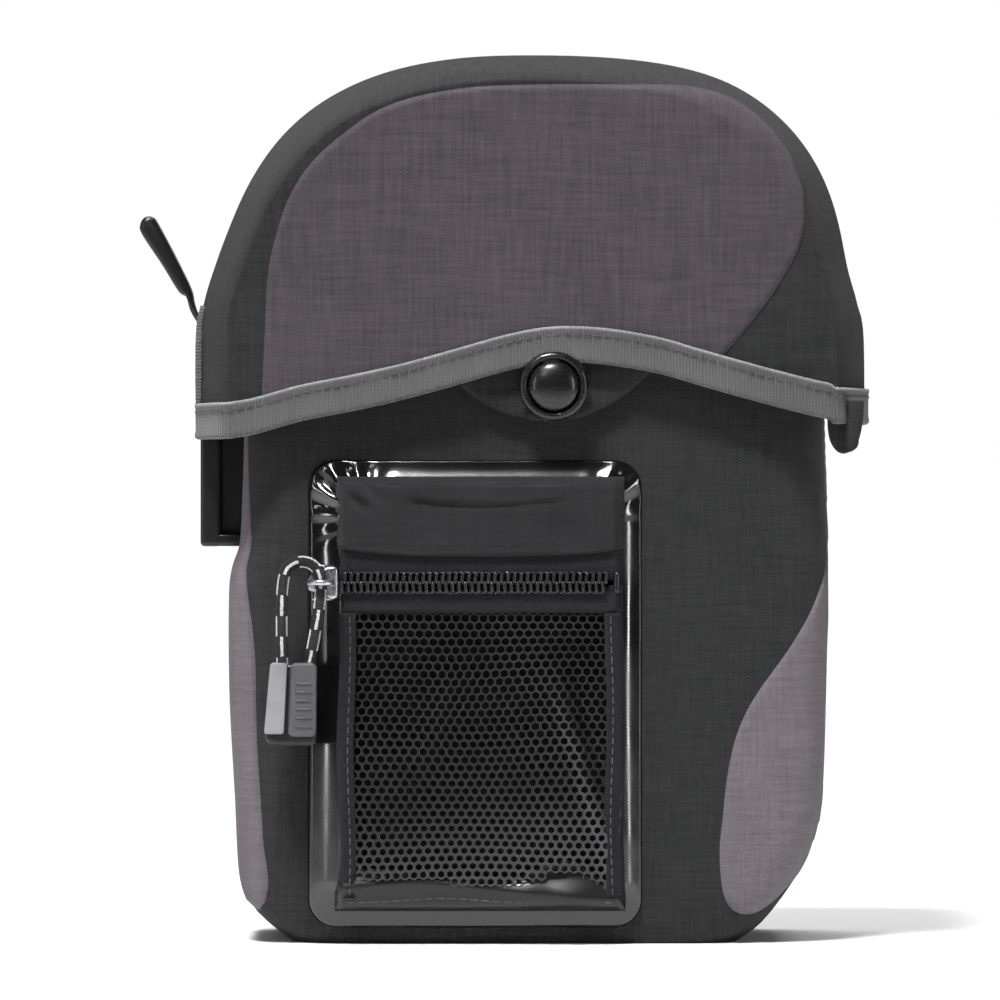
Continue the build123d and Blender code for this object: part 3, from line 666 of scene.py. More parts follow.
def flank(name, outline, nodes):
    """A welded panel on the bag's skin, from an outline in (distance round, height)."""
    def lift(points, edge):
        raised = 0.15 + 0.45 * ease(edge / 1.2) + 0.2 * bell(edge - 1.4, 0.7)
        return body_point(points[:, 0], points[:, 1], raised)
    piece = patch(name, outline, 1.8, lift)
    thicken(piece, PANEL_WALL)
    # The flank's look is the lighter copy of the mauve: painted light.
    finish_piece(piece, "bag", "mauve_canvas", nodes, "painted_lit_mauve_canvas")


FRONT_S = [(79.7, 104), (78.6, 98), (76.4, 92), (69, 79), (61, 68), (56.5, 60), (53.6, 51), (51.7, 39),
           (50.4, 25.5), (50.9, 16.5), (52.6, 10.6), (56.5, 7.9), (62, 8.9), (69, 14.9), (74.5, 23.5),
           (77.6, 33)]
FRONT_LEFT = [(-76.6, 136), (-75.8, 107), (-74.9, 80), (-74, 52), (-72.6, 30), (-71, 17), (-71.6, 11)]


def make_flanks():
    """Mauve flanks: the right one sweeps onto the front in an S, the left one shows as a sliver."""
    rear = GIRTH / 2 - turn_at(70, 60)
    front_edge = turn_at(79.3, 130)
    seam = smooth([(turn_at(x, z), z) for x, z in FRONT_S], 120)
    right = [(front_edge + 4, BODY_TOP - 2), (front_edge + 3, 120.0)]
    right += [tuple(p) for p in seam]
    right += [tuple(p) for p in smooth([(turn_at(77.6, 33), 33), (front_edge + 14, 43), (rear, 47)], 12)[1:]]
    right += [(rear, BODY_TOP - 2)]
    flank("right_flank", right, ("right_side_panel", "corner_panel"))
    edge = smooth([(turn_at(x, z), z) for x, z in FRONT_LEFT], 60)
    left = [(turn_at(-76.0, 180), BODY_TOP - 2)] + [tuple(p) for p in edge]
    foot = turn_at(-74.0, 12)
    left += [(foot - 4, 8.5), (foot - 14, 10.0), (-rear, 12.0), (-rear, BODY_TOP - 2)]
    flank("left_flank", left, ("left_side_panel",))


def make_back_rise():
    """The back's upper part, which carries the lid's fold."""
    top = BACK_HIGH[2]
    outline = [(-69, 181), (70, 181), (71, 188), (64.5, top), (-64.5, top), (-70, 188)]
    cloth("back_rise", outline, 4.0, lambda x, z, edge: BODY_BACK - 0.6 + 0.6 * ease((z - 182) / 4), 1.6,
          "bag", "dark_canvas")


make_body()
make_flanks()
make_back_rise()

# ---- lid
VAULT_POWER = 2.4
SPRING_Z = 160.0
FOLD_HALF = 81.2
FOLD_RISE = 71.5
OUT_HALF = LID_HALF + 0.4
OUT_RISE = LID_TOP - SPRING_Z
FOLD_Y = LID_FRONT + 0.4
CROWN = 1.8
HEM_LEFT = 136.0
HEM_RIGHT = 140.0
TAPE = 9.5
TAPE_FACE = 1.05
STITCH_HEIGHT = 7.1
HEM = profile([(-95, 135.8), (-90, 136), (-77, 136.7), (-62, 140.7), (-43.4, 144.4), (-27.3, 148.4),
               (-3.2, 155.0), (12.9, 156.4), (31.6, 154.0), (45, 150.3), (61, 145.8), (78.8, 141.4),
               (92, 140)])
FLARE = profile([(0, -55.6), (0.1, -55.0), (0.3, -51.5), (0.6, -41.0), (1.0, NOTCH_Y), (1.3, -10)])


LEFT_SLACK = profile([(100, 1.0), (160, 1.0), (172, 0.992), (185, 0.969), (197, 0.958), (213, 0.964),
                      (229, 0.99), (237.7, 1.02), (241, 1.03)])
RIGHT_SLACK = profile([(100, 1.0), (160, 1.0), (172, 0.985), (184, 0.968), (201, 0.988), (218, 1.03),
                       (229, 1.09), (237.7, 1.2), (241, 1.25)])


def slack(x, z):
    """How much the soft vault leans: the share by which a point is moved in or out."""
    right = ease(np.asarray(x) / 60 + 0.5)
    return LEFT_SLACK(z) * (1 - right) + RIGHT_SLACK(z) * right


def fold_width(z):
    """Half the width of the lid's flat front at a height."""
    rise = np.clip((z - SPRING_Z) / FOLD_RISE, 0, 0.9999)
    return FOLD_HALF * (1 - rise ** VAULT_POWER) ** (1 / VAULT_POWER)


def lid_front(x, z):
    """Y of the lid's front skin."""
    rise = np.clip((z - SPRING_Z) / FOLD_RISE, 0, None)
    e = ((np.abs(x) / FOLD_HALF) ** VAULT_POWER + rise ** VAULT_POWER) ** (1 / VAULT_POWER)
    crown = CROWN * (1 - np.clip(e, 0, 1) ** 2)
    soft = 0.35 * ripple(x, z, 9, size=80.0) * (1 - np.clip(e, 0, 1) ** 4)
    return FOLD_Y - crown + soft + 62.0 * np.clip(e - 1, 0, None)


def widen(x, z, share):
    """Moves points of the front's outline out to the walls, share 0 at the fold and 1 at the full width."""
    width = 1 + share * (OUT_HALF - FOLD_HALF) / FOLD_HALF
    rise = 1 + share * (OUT_RISE - FOLD_RISE) / FOLD_RISE
    return x * width, np.where(z > SPRING_Z, SPRING_Z + (z - SPRING_Z) * rise, z)


def lid_grid():
    """Rows of the front face from hem to top, as arrays of x and z."""
    notch_row = (SPRING_Z + (NOTCH_TOP - SPRING_Z) * FOLD_RISE / OUT_RISE - HEM_LEFT)
    top = SPRING_Z + FOLD_RISE
    shares = np.sort(np.append(1 - (1 - np.linspace(0, 1, 56)) ** 2.0, notch_row / (top - HEM_LEFT)))
    side = np.linspace(-1, 1, 110)
    blend = (side + 1) / 2
    xs, zs = [], []
    for share in shares:
        line = (HEM_LEFT + share * (top - HEM_LEFT)) * (1 - blend)
        line = line + (HEM_RIGHT + share * (top - HEM_RIGHT)) * blend
        x = side * fold_width(line)
        hem_line = HEM_LEFT * (1 - blend) + HEM_RIGHT * blend
        xs.append(x)
        zs.append(line + (HEM(x) - hem_line) * (1 - share) ** 2)
    return np.array(xs), np.array(zs)


def make_lid():
    """The dark lid: crowned front, folded edge and flaring walls, open at the back."""
    xs, zs = lid_grid()
    rows, columns = xs.shape
    verts = [tuple(p) for p in np.stack([xs.ravel() * slack(xs, zs).ravel(), lid_front(xs, zs).ravel(),
                                         zs.ravel()], 1)]
    faces = grid_faces(rows, columns)
    rim = [r * columns for r in range(rows)] + [(rows - 1) * columns + c for c in range(1, columns - 1)]
    rim += [r * columns + columns - 1 for r in range(rows - 1, -1, -1)]
    rim_x, rim_z = xs.ravel()[rim], zs.ravel()[rim]
    rings = [(share, float(FLARE(share))) for share in (0.05, 0.1, 0.18, 0.3, 0.45, 0.6, 0.8, 1.0)]
    rings += [(1.0, y) for y in np.linspace(NOTCH_Y, LID_REAR, 12)[1:]]
    previous = rim
    for share, y in rings:
        x, z = widen(rim_x, rim_z, share)
        base = len(verts)
        puff = 0.25 * ripple(z + x, np.full(len(x), y), 12, size=60.0) * (share == 1.0) * (y > NOTCH_Y + 1)
        verts.extend((a * (1 + p / 90) * s, y, b) for a, b, p, s in zip(x, z, puff, slack(x, z)))
        now = list(range(base, base + len(rim)))
        for k in range(len(rim) - 1):
            low = max(z[k], z[k + 1])
            if y > NOTCH_Y + 0.01 and x[k] < 0 and low < NOTCH_TOP + 0.2:
                continue
            faces.append((previous[k], previous[k + 1], now[k + 1], now[k]))
        previous = now
    lid = make_object("lid_shell", verts, faces)
    edit(lid, lambda bm: bmesh.ops.delete(bm, geom=[v for v in bm.verts if not v.link_faces],
                                          context="VERTS"))
    thicken(lid, SHELL_WALL)
    finish_piece(lid, "lid", "dark_canvas", ("lid_front_panel", "lid_gusset"))


def make_lid_back():
    """The short strip that closes the lid above its fold."""
    angle = np.linspace(0, pi, 60)
    x = OUT_HALF * np.sign(np.cos(angle)) * np.abs(np.cos(angle)) ** (2 / VAULT_POWER)
    z = SPRING_Z + OUT_RISE * np.sin(angle) ** (2 / VAULT_POWER)
    low = node_box("lid_back_panel")[0][2]
    keep = z > low
    x = x * slack(x, z)
    outline = [(a - np.sign(a) * 0.4, b - 0.4) for a, b in zip(x[keep], z[keep])]
    outline = [(outline[0][0] + 1.2, low)] + outline + [(outline[-1][0] - 1.2, low)]
    cloth("lid_back", outline, 2.5, lambda x, z, edge: LID_REAR + 0.2 + 2.6 * ease((edge + 0.6) / 4),
          SHELL_WALL, "lid", "dark_canvas", ("lid_back_panel",))


ACCENT = [(-72.4, 141), (-72.3, 150), (-71.7, 164), (-71.0, 178), (-69.0, 189), (-64.9, 201), (-58.5, 210.5),
          (-50, 218), (-41, 224), (-30, 227.7), (-17, 229.9), (-3, 230.6), (20, 230.8), (42, 230.4),
          (55.7, 226.2), (66.5, 216.5), (71.8, 207), (73.6, 197.5), (71.8, 187.6), (67.8, 179.5),
          (62.4, 171.5), (55, 162.2), (47, 153.5)]


def make_accent():
    """The raised mauve panel, with a welded rim."""
    edge = smooth(ACCENT, 260)
    bottom_x = np.linspace(edge[-1][0], edge[0][0], 40)[1:-1]
    outline = np.vstack([edge, np.stack([bottom_x, HEM(bottom_x) + 3.0], 1)])

    def skin(x, z, edge):
        raised = 0.22 + 0.65 * ease(edge / 1.6) + 0.35 * bell(edge - 1.6, 0.8)
        raised *= 0.15 + 0.85 * ease((z - HEM(x) - 7.5) / 3.0)
        return lid_front(x / slack(x, z), z) - raised
    cloth("lid_accent", outline, 1.7, skin, PANEL_WALL, "lid", "mauve_canvas", ("lid_accent_panel",))


def hem_path():
    """The hem's run from the left wall's rear edge across the front to the right wall's rear: x, y and z."""
    flare = np.linspace(1.0, 0.0, 24)
    left = [(-FOLD_HALF - s * (OUT_HALF - FOLD_HALF), float(FLARE(s)), HEM_LEFT) for s in flare]
    front_x = np.linspace(-FOLD_HALF, FOLD_HALF, 130)[1:-1]
    front = [(x, float(lid_front(x, HEM(x) + 4.0)), float(HEM(x))) for x in front_x]
    right = [(FOLD_HALF + s * (OUT_HALF - FOLD_HALF), float(FLARE(s)), HEM_RIGHT) for s in flare[::-1]]
    rear = [(OUT_HALF, y, HEM_RIGHT) for y in np.linspace(NOTCH_Y, LID_REAR, 12)[1:]]
    return even(left + front + right + rear, 1.2)


def outward(path):
    """The level direction that points out of the lid, at each point of a path round it."""
    ahead = np.gradient(path, axis=0)[:, :2]
    away = np.stack([ahead[:, 1], -ahead[:, 0]], 1)
    away /= np.linalg.norm(away, axis=1)[:, None]
    return np.concatenate([away, np.zeros((len(path), 1))], axis=1)


def store(obj, **rows):
    """Keeps named numbers for each point of a mesh, for its material."""
    for name, values in rows.items():
        layer = obj.data.attributes.new(name, "FLOAT", "POINT")
        layer.data.foreach_set("value", np.asarray(values, np.float32))


HEM_SECTION = [(0.55, 9.5), (1.25, 9.3), (1.3, 8.7), (1.1, 8.0), (1.05, 5.0), (1.05, 2.0), (1.25, 1.0),
               (1.2, 0.3), (0.5, -0.25), (-1.0, -0.35), (-2.3, -0.2), (-2.8, 0.6), (-2.9, 4.0), (-2.7, 8.6)]


def make_hem():
    """The binding tape: one band folded over the lid's edge, with a row of stitches."""
    path = hem_path()
    away = outward(path)
    along = run_along(path)
    wave = 0.22 * np.sin(along / 3.1) * np.sin(along / 17.0)
    verts, across, runs = [], [], []
    for point, out, run, shift in zip(path, away, along, wave):
        for offset, height in HEM_SECTION:
            verts.append(point + out * (offset + (shift if offset > 0 else 0)) + (0, 0, height))
            across.append(np.clip(height / TAPE, 0, 1))
            runs.append(run)
    band = plain_object("hem_tape", verts, closed_faces(len(path), len(HEM_SECTION)))
    store(band, across=across, along=runs)
    finish_piece(band, "lid", "grey_tape", ("lid_binding",))
    row = path + away * TAPE_FACE + (0, 0, STITCH_HEIGHT)
    thread = make_object("hem_stitches", *stitches(row, away, length=1.9, gap=0.75, radius=0.24))
    finish_piece(thread, "lid", "grey_tape", look="thread")


def make_edge_trim():
    """The bound rear edge of the left wall, from the hem up to the notch."""
    heights = np.linspace(HEM_LEFT + TAPE - 0.6, NOTCH_TOP, 22)
    fold = [(1.65 * sin(a), 1.5 * cos(a)) for a in np.linspace(-0.5 * pi, 0.5 * pi, 9)]
    section = [(-1.5, -3.2)] + fold + [(1.5, -3.2)]
    verts, across, along = [], [], []
    for z in heights:
        wall = widen(np.array([-fold_width(z)]), np.array([z]), 1.0)[0]
        wall = wall * slack(wall, z)
        bow = 0.35 * sin((z - HEM_LEFT) / 14.0)
        for side, back in section:
            verts.append((wall[0] + 0.9 - side - bow, NOTCH_Y + back, z))
            across.append(0.5 + 0.45 * back / 3.2)
            along.append(z)
    trim = plain_object("edge_trim", verts, closed_faces(len(heights), len(section)))
    store(trim, across=across, along=along)
    finish_piece(trim, "lid", "grey_tape", ("lid_edge_trim",))


def make_ear():
    """The loose dark end that curls out under the tape at the right."""
    outline = [(79.2, 146), (79.4, 138), (80.4, 134.2), (82.6, 131.9), (85.2, 132.2), (87.4, 135.0),
               (88.6, 140), (89.0, 146)]

    def skin(x, z, edge):
        curl = -3.4 * ease((x - 84.2) / 2.6) + 1.6 * ease((138 - z) / 8)
        return LID_FRONT + 3.4 + curl
    cloth("hem_ear_cloth", smooth(outline, 50), 1.0, skin, 0.9, "lid", "black_nylon", ("hem_ear",),
          look="dark_canvas")


make_lid()
make_lid_back()
make_accent()
make_hem()
make_edge_trim()
make_ear()


# ---- snap and its tab
def make_tab():
    """The lens-shaped reinforcement under the hem."""
    low = smooth([(-19, 149.6), (-12, 144.6), (-4, 141.6), (6, 140.3), (16, 142.6), (25, 147.6),
                  (33.5, 155.0)], 60)
    top = smooth([(33.5, 157.0), (6, 161.5), (-19, 152.0)], 30)

    def skin(x, z, edge):
        return LID_FRONT + 2.1 - 0.5 * ease(edge / 1.2) + 0.5 * bell(z - 149.2, 0.8)
    cloth("snap_tab_cloth", np.vstack([low, top]), 1.2, skin, 1.4, "lid", "dark_canvas", ("snap_tab",))


def make_snap():
    """The snap's ring and its glossy domed cap."""
    back = SNAP_HIGH[1]
    front = SNAP_LOW[1]
    outer = (SNAP_HIGH[0] - SNAP_LOW[0]) / 2
    inner = (node_box("snap_cap")[1][0] - node_box("snap_cap")[0][0]) / 2
    ring = [(inner - 0.4, back), (outer - 0.8, back), (outer - 0.15, back - 0.4), (outer, back - 1.0),
            (outer - 0.25, front + 0.6), (outer - 0.9, front + 0.1), (inner + 1.1, front - 0.1),
            (inner + 0.6, front + 0.3), (inner + 0.35, front + 1.0), (inner - 0.4, front + 1.2),
            (inner - 0.4, back)]
    piece = revolve("snap_collar", ring, SNAP_CENTRE)
    finish_piece(piece, "lid", "gloss_black", ("snap_ring",))
    tip = node_box("snap_cap")[0][1]
    dome = [(0.01, tip)]
    for angle in np.linspace(8, 90, 14):
        dome.append((inner * sin(radians(angle)), front + 0.4 - (front + 0.4 - tip) * cos(radians(angle))))
    dome += [(inner, back - 0.3), (inner - 0.6, back), (4.0, back), (4.0, back + 4.4), (0.01, back + 4.4)]
    cap = revolve("snap_dome", dome, SNAP_CENTRE)
    finish_piece(cap, "lid", "gloss_black", ("snap_cap",))


make_tab()
make_snap()

# ---- pocket
WINDOW_LEFT, WINDOW_RIGHT = MESH_LOW[0], MESH_HIGH[0]
WINDOW_LOW = node_box("pocket_hem")[0][2]
WINDOW_HIGH = UPPER_HIGH[2]


def window_box(margin, low, high):
    """The outline of a strip between two heights that passes the window's sides by a margin."""
    left, right = WINDOW_LEFT - margin, WINDOW_RIGHT + margin
    return [(left, low), (right, low), (right, high), (left, high)]


def to_side(x, margin=0.0):
    """How far a place is from the nearer side of the window, with a margin."""
    return np.minimum(x - WINDOW_LEFT + margin, WINDOW_RIGHT + margin - x)


def rounded_box(left, right, low, high, radius, step=1.5):
    """A closed rounded rectangle, anticlockwise from its lower right."""
    points = []
    for cx, cz, start in ((right - radius, low + radius, -90), (right - radius, high - radius, 0),
                          (left + radius, high - radius, 90), (left + radius, low + radius, 180)):
        for angle in np.linspace(start, start + 90, 13):
            points.append((cx + radius * cos(radians(angle)), cz + radius * sin(radians(angle))))
    return even(points, step, closed=True)


BAND_TILT = 0.55
BAND_HOLLOW = 0.6


def make_frame():
    """The glossy welded frame: a sloping band round the window, gathered at its upper corners."""
    outer = rounded_box(FRAME_LOW[0] + 0.2, FRAME_HIGH[0], FRAME_LOW[2], FRAME_HIGH[2], 7.5, step=0.7)
    centre = np.array([(WINDOW_LEFT + WINDOW_RIGHT) / 2, (WINDOW_LOW + WINDOW_HIGH) / 2])
    inner = np.array([(np.clip(x, WINDOW_LEFT, WINDOW_RIGHT), np.clip(z, WINDOW_LOW, WINDOW_HIGH))
                      for x, z in outer])
    pull = (centre - inner) / np.linalg.norm(centre - inner, axis=1)[:, None]
    inner = inner + pull * 1.2
    width = np.linalg.norm(inner - outer, axis=1)
    rows = [(-0.05, -0.9, 0.0), (0.0, 0.15, 0.0), (0.05, 0.7, 0.0)]
    rows += [(share, 0.75, share - 0.05) for share in np.linspace(0.1, 0.9, 13)]
    rows += [(0.95, 0.7, 0.88), (0.99, 0.4, 0.86), (1.0, -0.4, 0.8), (1.0, -1.6, 0.6)]
    verts = []
    for share, lift, climb in rows:
        ring = outer * (1 - share) + inner * share
        x, z = ring[:, 0], ring[:, 1]
        flatter = 0.3 + 0.7 * ease((z - WINDOW_LOW + 3) / 9)
        height = lift + (climb + BAND_HOLLOW * climb * (climb - 1)) * width * BAND_TILT * flatter
        left = hump(x + 53, 9, z - 123, 9)
        right = hump(x - 25, 6, z - 124, 7)
        gather = left * np.sin(np.arctan2(z - 114, x + 44) * 15) * 1.1
        gather += right * np.sin(np.arctan2(z - 114, x - 14) * 13) * 0.7
        crumple = 0.04 * ripple(x, z, 21, waves=8, size=15.0) + 0.3 * ripple(x, z, 22, waves=5, size=90.0)
        swell = np.sin(np.clip(share, 0, 1) * pi) ** 0.7
        verts.extend(np.stack([x, BODY_FRONT + 0.2 - height - swell * (gather + crumple), z], 1))
    band = make_object("pocket_band", verts, grid_faces(len(rows), len(outer), closed=True))
    thicken(band, 0.7, even_wall=False)
    finish_piece(band, "bag", "gloss_frame", ("pocket_frame",))


def flap_edge(x):
    """Height of the upper cloth's free lower edge, which sags in its middle."""
    u = (x - (WINDOW_LEFT + WINDOW_RIGHT) / 2) / ((WINDOW_RIGHT - WINDOW_LEFT) / 2)
    return UPPER_LOW[2] - 0.8 + 1.9 * np.abs(u) ** 3


def flap_depth(x, z, edge):
    """How far the upper cloth stands out: puffed, with one crease near its top and slack wrinkles."""
    crease = 0.9 * bell(z - 118.3 - 0.9 * np.sin(x / 9), 0.7) * ease((x + 36) / 6) * ease((12 - x) / 6)
    slack = ripple(x * 0.8, z * 1.3, 31, waves=7, size=24.0)
    dent = 0.9 * hump(x + 2, 17, z - 111.5, 4.5)
    tucks = 0.8 * hump(x + 46, 7, z - 121, 5) * np.sin((z + x * 0.8) / 1.1)
    free = ease((z - flap_edge(x)) / 5)
    return -2.6 + ease(edge / 3.0) * (3.5 + 0.4 * (1 - free)) + ease(edge / 5) * free * (
        1.9 * slack - 1.3 * crease - 1.3 * dent + 1.3 * tucks)


def make_upper_panel():
    """Matt nylon above the zip: a loose flap whose free edge lies over the zip tape."""
    x = np.linspace(WINDOW_LEFT - 1.2, WINDOW_RIGHT + 1.2, 50)
    high = UPPER_HIGH[2] + 1.0
    outline = np.vstack([np.stack([x, flap_edge(x)], 1), window_box(1.2, 0, high)[2:]])

    def skin(x, z, edge):
        return PANEL_FRONT - flap_depth(x, z, np.minimum(to_side(x, 1.2), high - z))
    cloth("pocket_flap", outline, 1.0, skin, 0.6, "bag", "black_nylon", ("pocket_upper_panel",))
    x = np.linspace(WINDOW_LEFT + 1, WINDOW_RIGHT - 1, 80)
    z = flap_edge(x) + 3.0
    front_stitches("upper_stitches", x, PANEL_FRONT - flap_depth(x, z, to_side(x)), z, (1.9, 0.7, 0.14),
                   "pale_thread")


def make_tapes():
    """The zip's two tapes, turned down at their ends."""
    def skin(x, z, edge):
        bow = 0.12 * ripple(x, z, 41, size=18.0)
        return PANEL_FRONT - (0.1 - 2.8 * (1 - ease(to_side(x, 0.8) / 2.2)) + bow)
    for name, node, under in (("zip_tape_top", "zip_tape_upper", 2.5),
                              ("zip_tape_bottom", "zip_tape_lower", 0.0)):
        low, high = node_box(node)
        cloth(name, window_box(0.8, low[2], high[2] + under), 0.9, skin, PANEL_WALL, "bag", "black_nylon",
              (node,), look="tape_nylon")


COIL_PITCH = 1.75
WIRE = 0.46


def coil_row(side, left, right):
    """One row of the chain: a monofilament whose front passes end in heads that mesh with the other row."""
    outer = ZIP_Z + side * (COIL_UP_HIGH[2] - ZIP_Z - WIRE)
    head = ZIP_Z + side * 0.1
    middle = (outer + head) / 2
    front = COIL_LOW[1] + 0.55
    back = PANEL_FRONT - 0.2
    points = []
    for k in range(int((right - left) / COIL_PITCH)):
        x = left + COIL_PITCH * (k + (0.5 if side > 0 else 0.0))
        points += [(x + 0.25, front + 0.3, outer, WIRE), (x + 0.12, front, middle + side * 0.8, 0.5),
                   (x, front, middle - side * 0.6, 0.55), (x, front + 0.15, head, 0.6),
                   (x + 0.02, back, head + side * 0.2, 0.5), (x + 0.05, back, middle, WIRE),
                   (x + 0.3, back, outer, WIRE)]
    curve = smooth(points, len(points) * 3)
    return tube(curve[:, :3], curve[:, 3], 8)


def make_coils():
    """Both rows of the coil."""
    for side, name, node in ((1, "coil_top", "zip_coil_upper"), (-1, "coil_bottom", "zip_coil_lower")):
        row = make_object(name, *coil_row(side, COIL_LOW[0] + 0.4, COIL_HIGH[0] - 0.2))
        finish_piece(row, "bag", "black_coil", (node,))


def make_end_stop():
    """The metal clip at the chain's right end."""
    low, high = node_box("zip_end_stop")
    outline = rounded_box(low[0], high[0], low[2], high[2], 0.5, step=0.3)
    cloth("zip_stop", outline, 0.5, lambda x, z, edge: low[1] - 0.1 + 0.5 * (1 - ease(edge / 0.6)), 1.3,
          "bag", "black_coil", ("zip_end_stop",))


def fold_line(z):
    """X of the net's slanting fold at a height."""
    return 19.6 - 0.309 * (z - 27)


def net_depth(x, z):
    """How far the slack net stands in front of the panels' plane."""
    u = (x - WINDOW_LEFT) / (WINDOW_RIGHT - WINDOW_LEFT)
    v = (z - MESH_LOW[2]) / (MESH_HIGH[2] - MESH_LOW[2])
    hold = ease(np.clip(np.minimum(u, 1 - u), 0, 1) / 0.16) * ease((1.02 - v) / 0.2)
    pouch = 1.9 * bell(z - 26 + 0.05 * x, 10.0) - 3.6 * ease((z - 34) / 26) * ease((94 - z) / 22)
    ridge_x = fold_line(z)
    ridge = 2.0 * bell(x - ridge_x, 2.6) * ease((78 - z) / 20) * ease((z - 16) / 8)
    hollow = 1.2 * bell(x - ridge_x + 9, 5.0) * ease((78 - z) / 20)
    left_fold = 1.1 * bell(x + 34 - 0.42 * (z - 40), 4.0) * ease((z - 30) / 14) * ease((88 - z) / 20)
    soft = 0.5 * ripple(x, z, 51, size=24.0)
    return -0.8 + hold * (0.9 + pouch + ridge - hollow + left_fold + soft)


def net_floor(x):
    """Height at which the net meets the smooth lower cloth."""
    return 18.0 + 1.2 * np.cos((x + 45) / 12.0) + 3.6 * bell(x - 8, 8.0) - 5.5 * ease((x - 13) / 10)


def net_tone(x, z):
    """Painted light and shade on the net's yarn: lighter towards its foot and darker above, a painted
    highlight along the fold with painted shade just beside it, a painted paler diagonal band above, and a
    little random variation.
    """
    ridge_x = fold_line(z)
    fold = ease((80 - z) / 25)
    tone = 0.3 + 1.1 * ease((46 - z + 0.25 * x) / 26) + 0.12 * ripple(x, z, 57, size=30.0)
    tone += 0.8 * bell(x - ridge_x + 1.0, 1.8) * fold
    tone -= 0.5 * bell(x - ridge_x - 3.0, 2.4) * fold
    tone += 0.25 * bell(x - 2 + 0.5 * (z - 70), 9.0) * ease((z - 40) / 15)
    return np.clip(tone, 0.12, 2.0)


NET_MIDDLE = (WINDOW_LEFT + WINDOW_RIGHT) / 2
NET_HALF = (WINDOW_RIGHT - WINDOW_LEFT) / 2 - 1.2
NET_PITCH = 2.45
NET_RISE = NET_PITCH * 0.85
HEX_WIDTH = 1.732
HEX_HEIGHT = 1.5


def make_net():
    """The open hexagonal net, each hole cut through."""
    verts, faces = [], []
    for row in range(int((MESH_HIGH[2] - MESH_LOW[2] + 4) / NET_RISE)):
        for column in range(int((WINDOW_RIGHT - WINDOW_LEFT + 4) / NET_PITCH)):
            cx = WINDOW_LEFT - 1 + NET_PITCH * (column + 0.5 * (row % 2))
            cz = MESH_LOW[2] - 1 + NET_RISE * row
            if cz < net_floor(cx) - 1 or cz > MESH_HIGH[2] + 0.5 or abs(cx - NET_MIDDLE) > NET_HALF:
                continue
            base = len(verts)
            for share in (1.0, 0.7 + 0.1 * float(ease((cz - 30) / 40))):
                for k in range(6):
                    a = radians(30 + 60 * k)
                    verts.append((cx + share * NET_PITCH / HEX_WIDTH * cos(a), 0.0,
                                  cz + share * NET_RISE / HEX_HEIGHT * sin(a)))
            faces += [(base + k, base + (k + 1) % 6, base + 6 + (k + 1) % 6, base + 6 + k) for k in range(6)]
    points = np.array(verts)
    x, z = points[:, 0], points[:, 2]
    warp = 0.9 * ripple(x, z, 53, size=44.0)
    points[:, 1] = PANEL_FRONT - net_depth(x, z)
    points[:, 0] += warp * 0.8
    points[:, 2] += 0.8 * ripple(x, z, 54, size=44.0)
    net = make_object("pocket_net", points, faces)
    edit(net, lambda bm: bmesh.ops.remove_doubles(bm, verts=bm.verts, dist=0.12 * MM))
    place = np.array([tuple(v.co) for v in net.data.vertices]) / MM
    # Painted light and shade for the net's colour, kept per point.
    store(net, tone=net_tone(place[:, 0], place[:, 2]))
    thicken(net, 0.5, offset=0)
    finish_piece(net, "bag", "black_mesh", ("mesh_panel",), smooth_faces=False)


def make_pocket_shade():
    """Painted shade: a near-black sheet behind the net, against the bag's front, standing for the shade
    inside the pocket.
    """
    cloth("pocket_painted_shade", window_box(2, WINDOW_LOW - 1, WINDOW_HIGH + 1), 3.0,
          lambda x, z, edge: BODY_FRONT - 0.9 - 0.3 * ripple(x, z, 61, size=30.0), 0.4, "bag", "black_nylon",
          look="painted_shade_sheet")


def make_pocket_foot():
    """The smooth satin cloth below the net, with one bright hanging fold at the right."""
    x = np.linspace(WINDOW_LEFT - 1.5, WINDOW_RIGHT + 1.5, 60)
    top = np.stack([x, net_floor(x) + 1.4], 1)
    outline = np.vstack([window_box(1.5, WINDOW_LOW - 1.5, 0)[1::-1], top])

    def depth(x, z):
        bulge = 2.7 * hump(x - 9, 10.5, z - 12.8 + 0.12 * (x - 9), 4.2)
        roll = 1.2 * bell(z - 15.0 - 1.5 * np.sin((x + 50) / 12), 2.4) * ease((4 - x) / 8)
        return 0.1 + bulge + roll + 0.35 * ripple(x, z, 71, size=14.0)

    def skin(x, z, edge):
        drop = 2.4 * (1 - ease(np.minimum(to_side(x, 1.5), z - WINDOW_LOW + 1.5) / 2.4))
        return PANEL_FRONT - ease(edge / 2.5) * depth(x, z) + 0.6 + drop
    cloth("pocket_foot", outline, 0.9, skin, PANEL_WALL, "bag", "black_nylon", ("pocket_hem",),
          look="pocket_satin")
    x = np.linspace(WINDOW_LEFT + 1, WINDOW_RIGHT - 1, 80)
    z = WINDOW_LOW + 0.9 + 1.1 * bell(x + 24, 13)
    front_stitches("foot_stitches", x, PANEL_FRONT + 0.5 - 0.5 * depth(x, z), z, (2.1, 0.9, 0.2), "thread")


def make_side_seams():
    """A narrow binding with stitches along both sides of the net."""
    parts, threads = [], []
    for side, x in ((-1, WINDOW_LEFT + 1.4), (1, WINDOW_RIGHT - 1.2)):
        z = np.linspace(WINDOW_LOW + 2, MESH_HIGH[2], 70)
        wobble = 0.35 * np.sin(z / 9.0 + side)
        path = np.stack([x + wobble - side * 1.0, PANEL_FRONT - 0.42 + 0 * z, z], 1)
        threads.append(stitches(path, np.tile((0, -1, 0), (70, 1)), 1.8, 0.9, 0.17))
        verts = []
        for point in path:
            for a, b in ((3.4, 3.6), (2.9, 2.3), (2.3, 0.9), (1.5, 0.15), (0, 0), (-1.2, 0.05), (-1.7, 0.5)):
                verts.append(point + (side * a, b, 0))
        parts.append((verts, grid_faces(len(path), 7)))
    binding = make_object("net_binding", *join_parts(parts))
    thicken(binding, 0.3)
    finish_piece(binding, "bag", "black_nylon", look="tape_nylon")
    finish_piece(make_object("side_stitches", *join_parts(threads)), "bag", "black_nylon", look="thread")


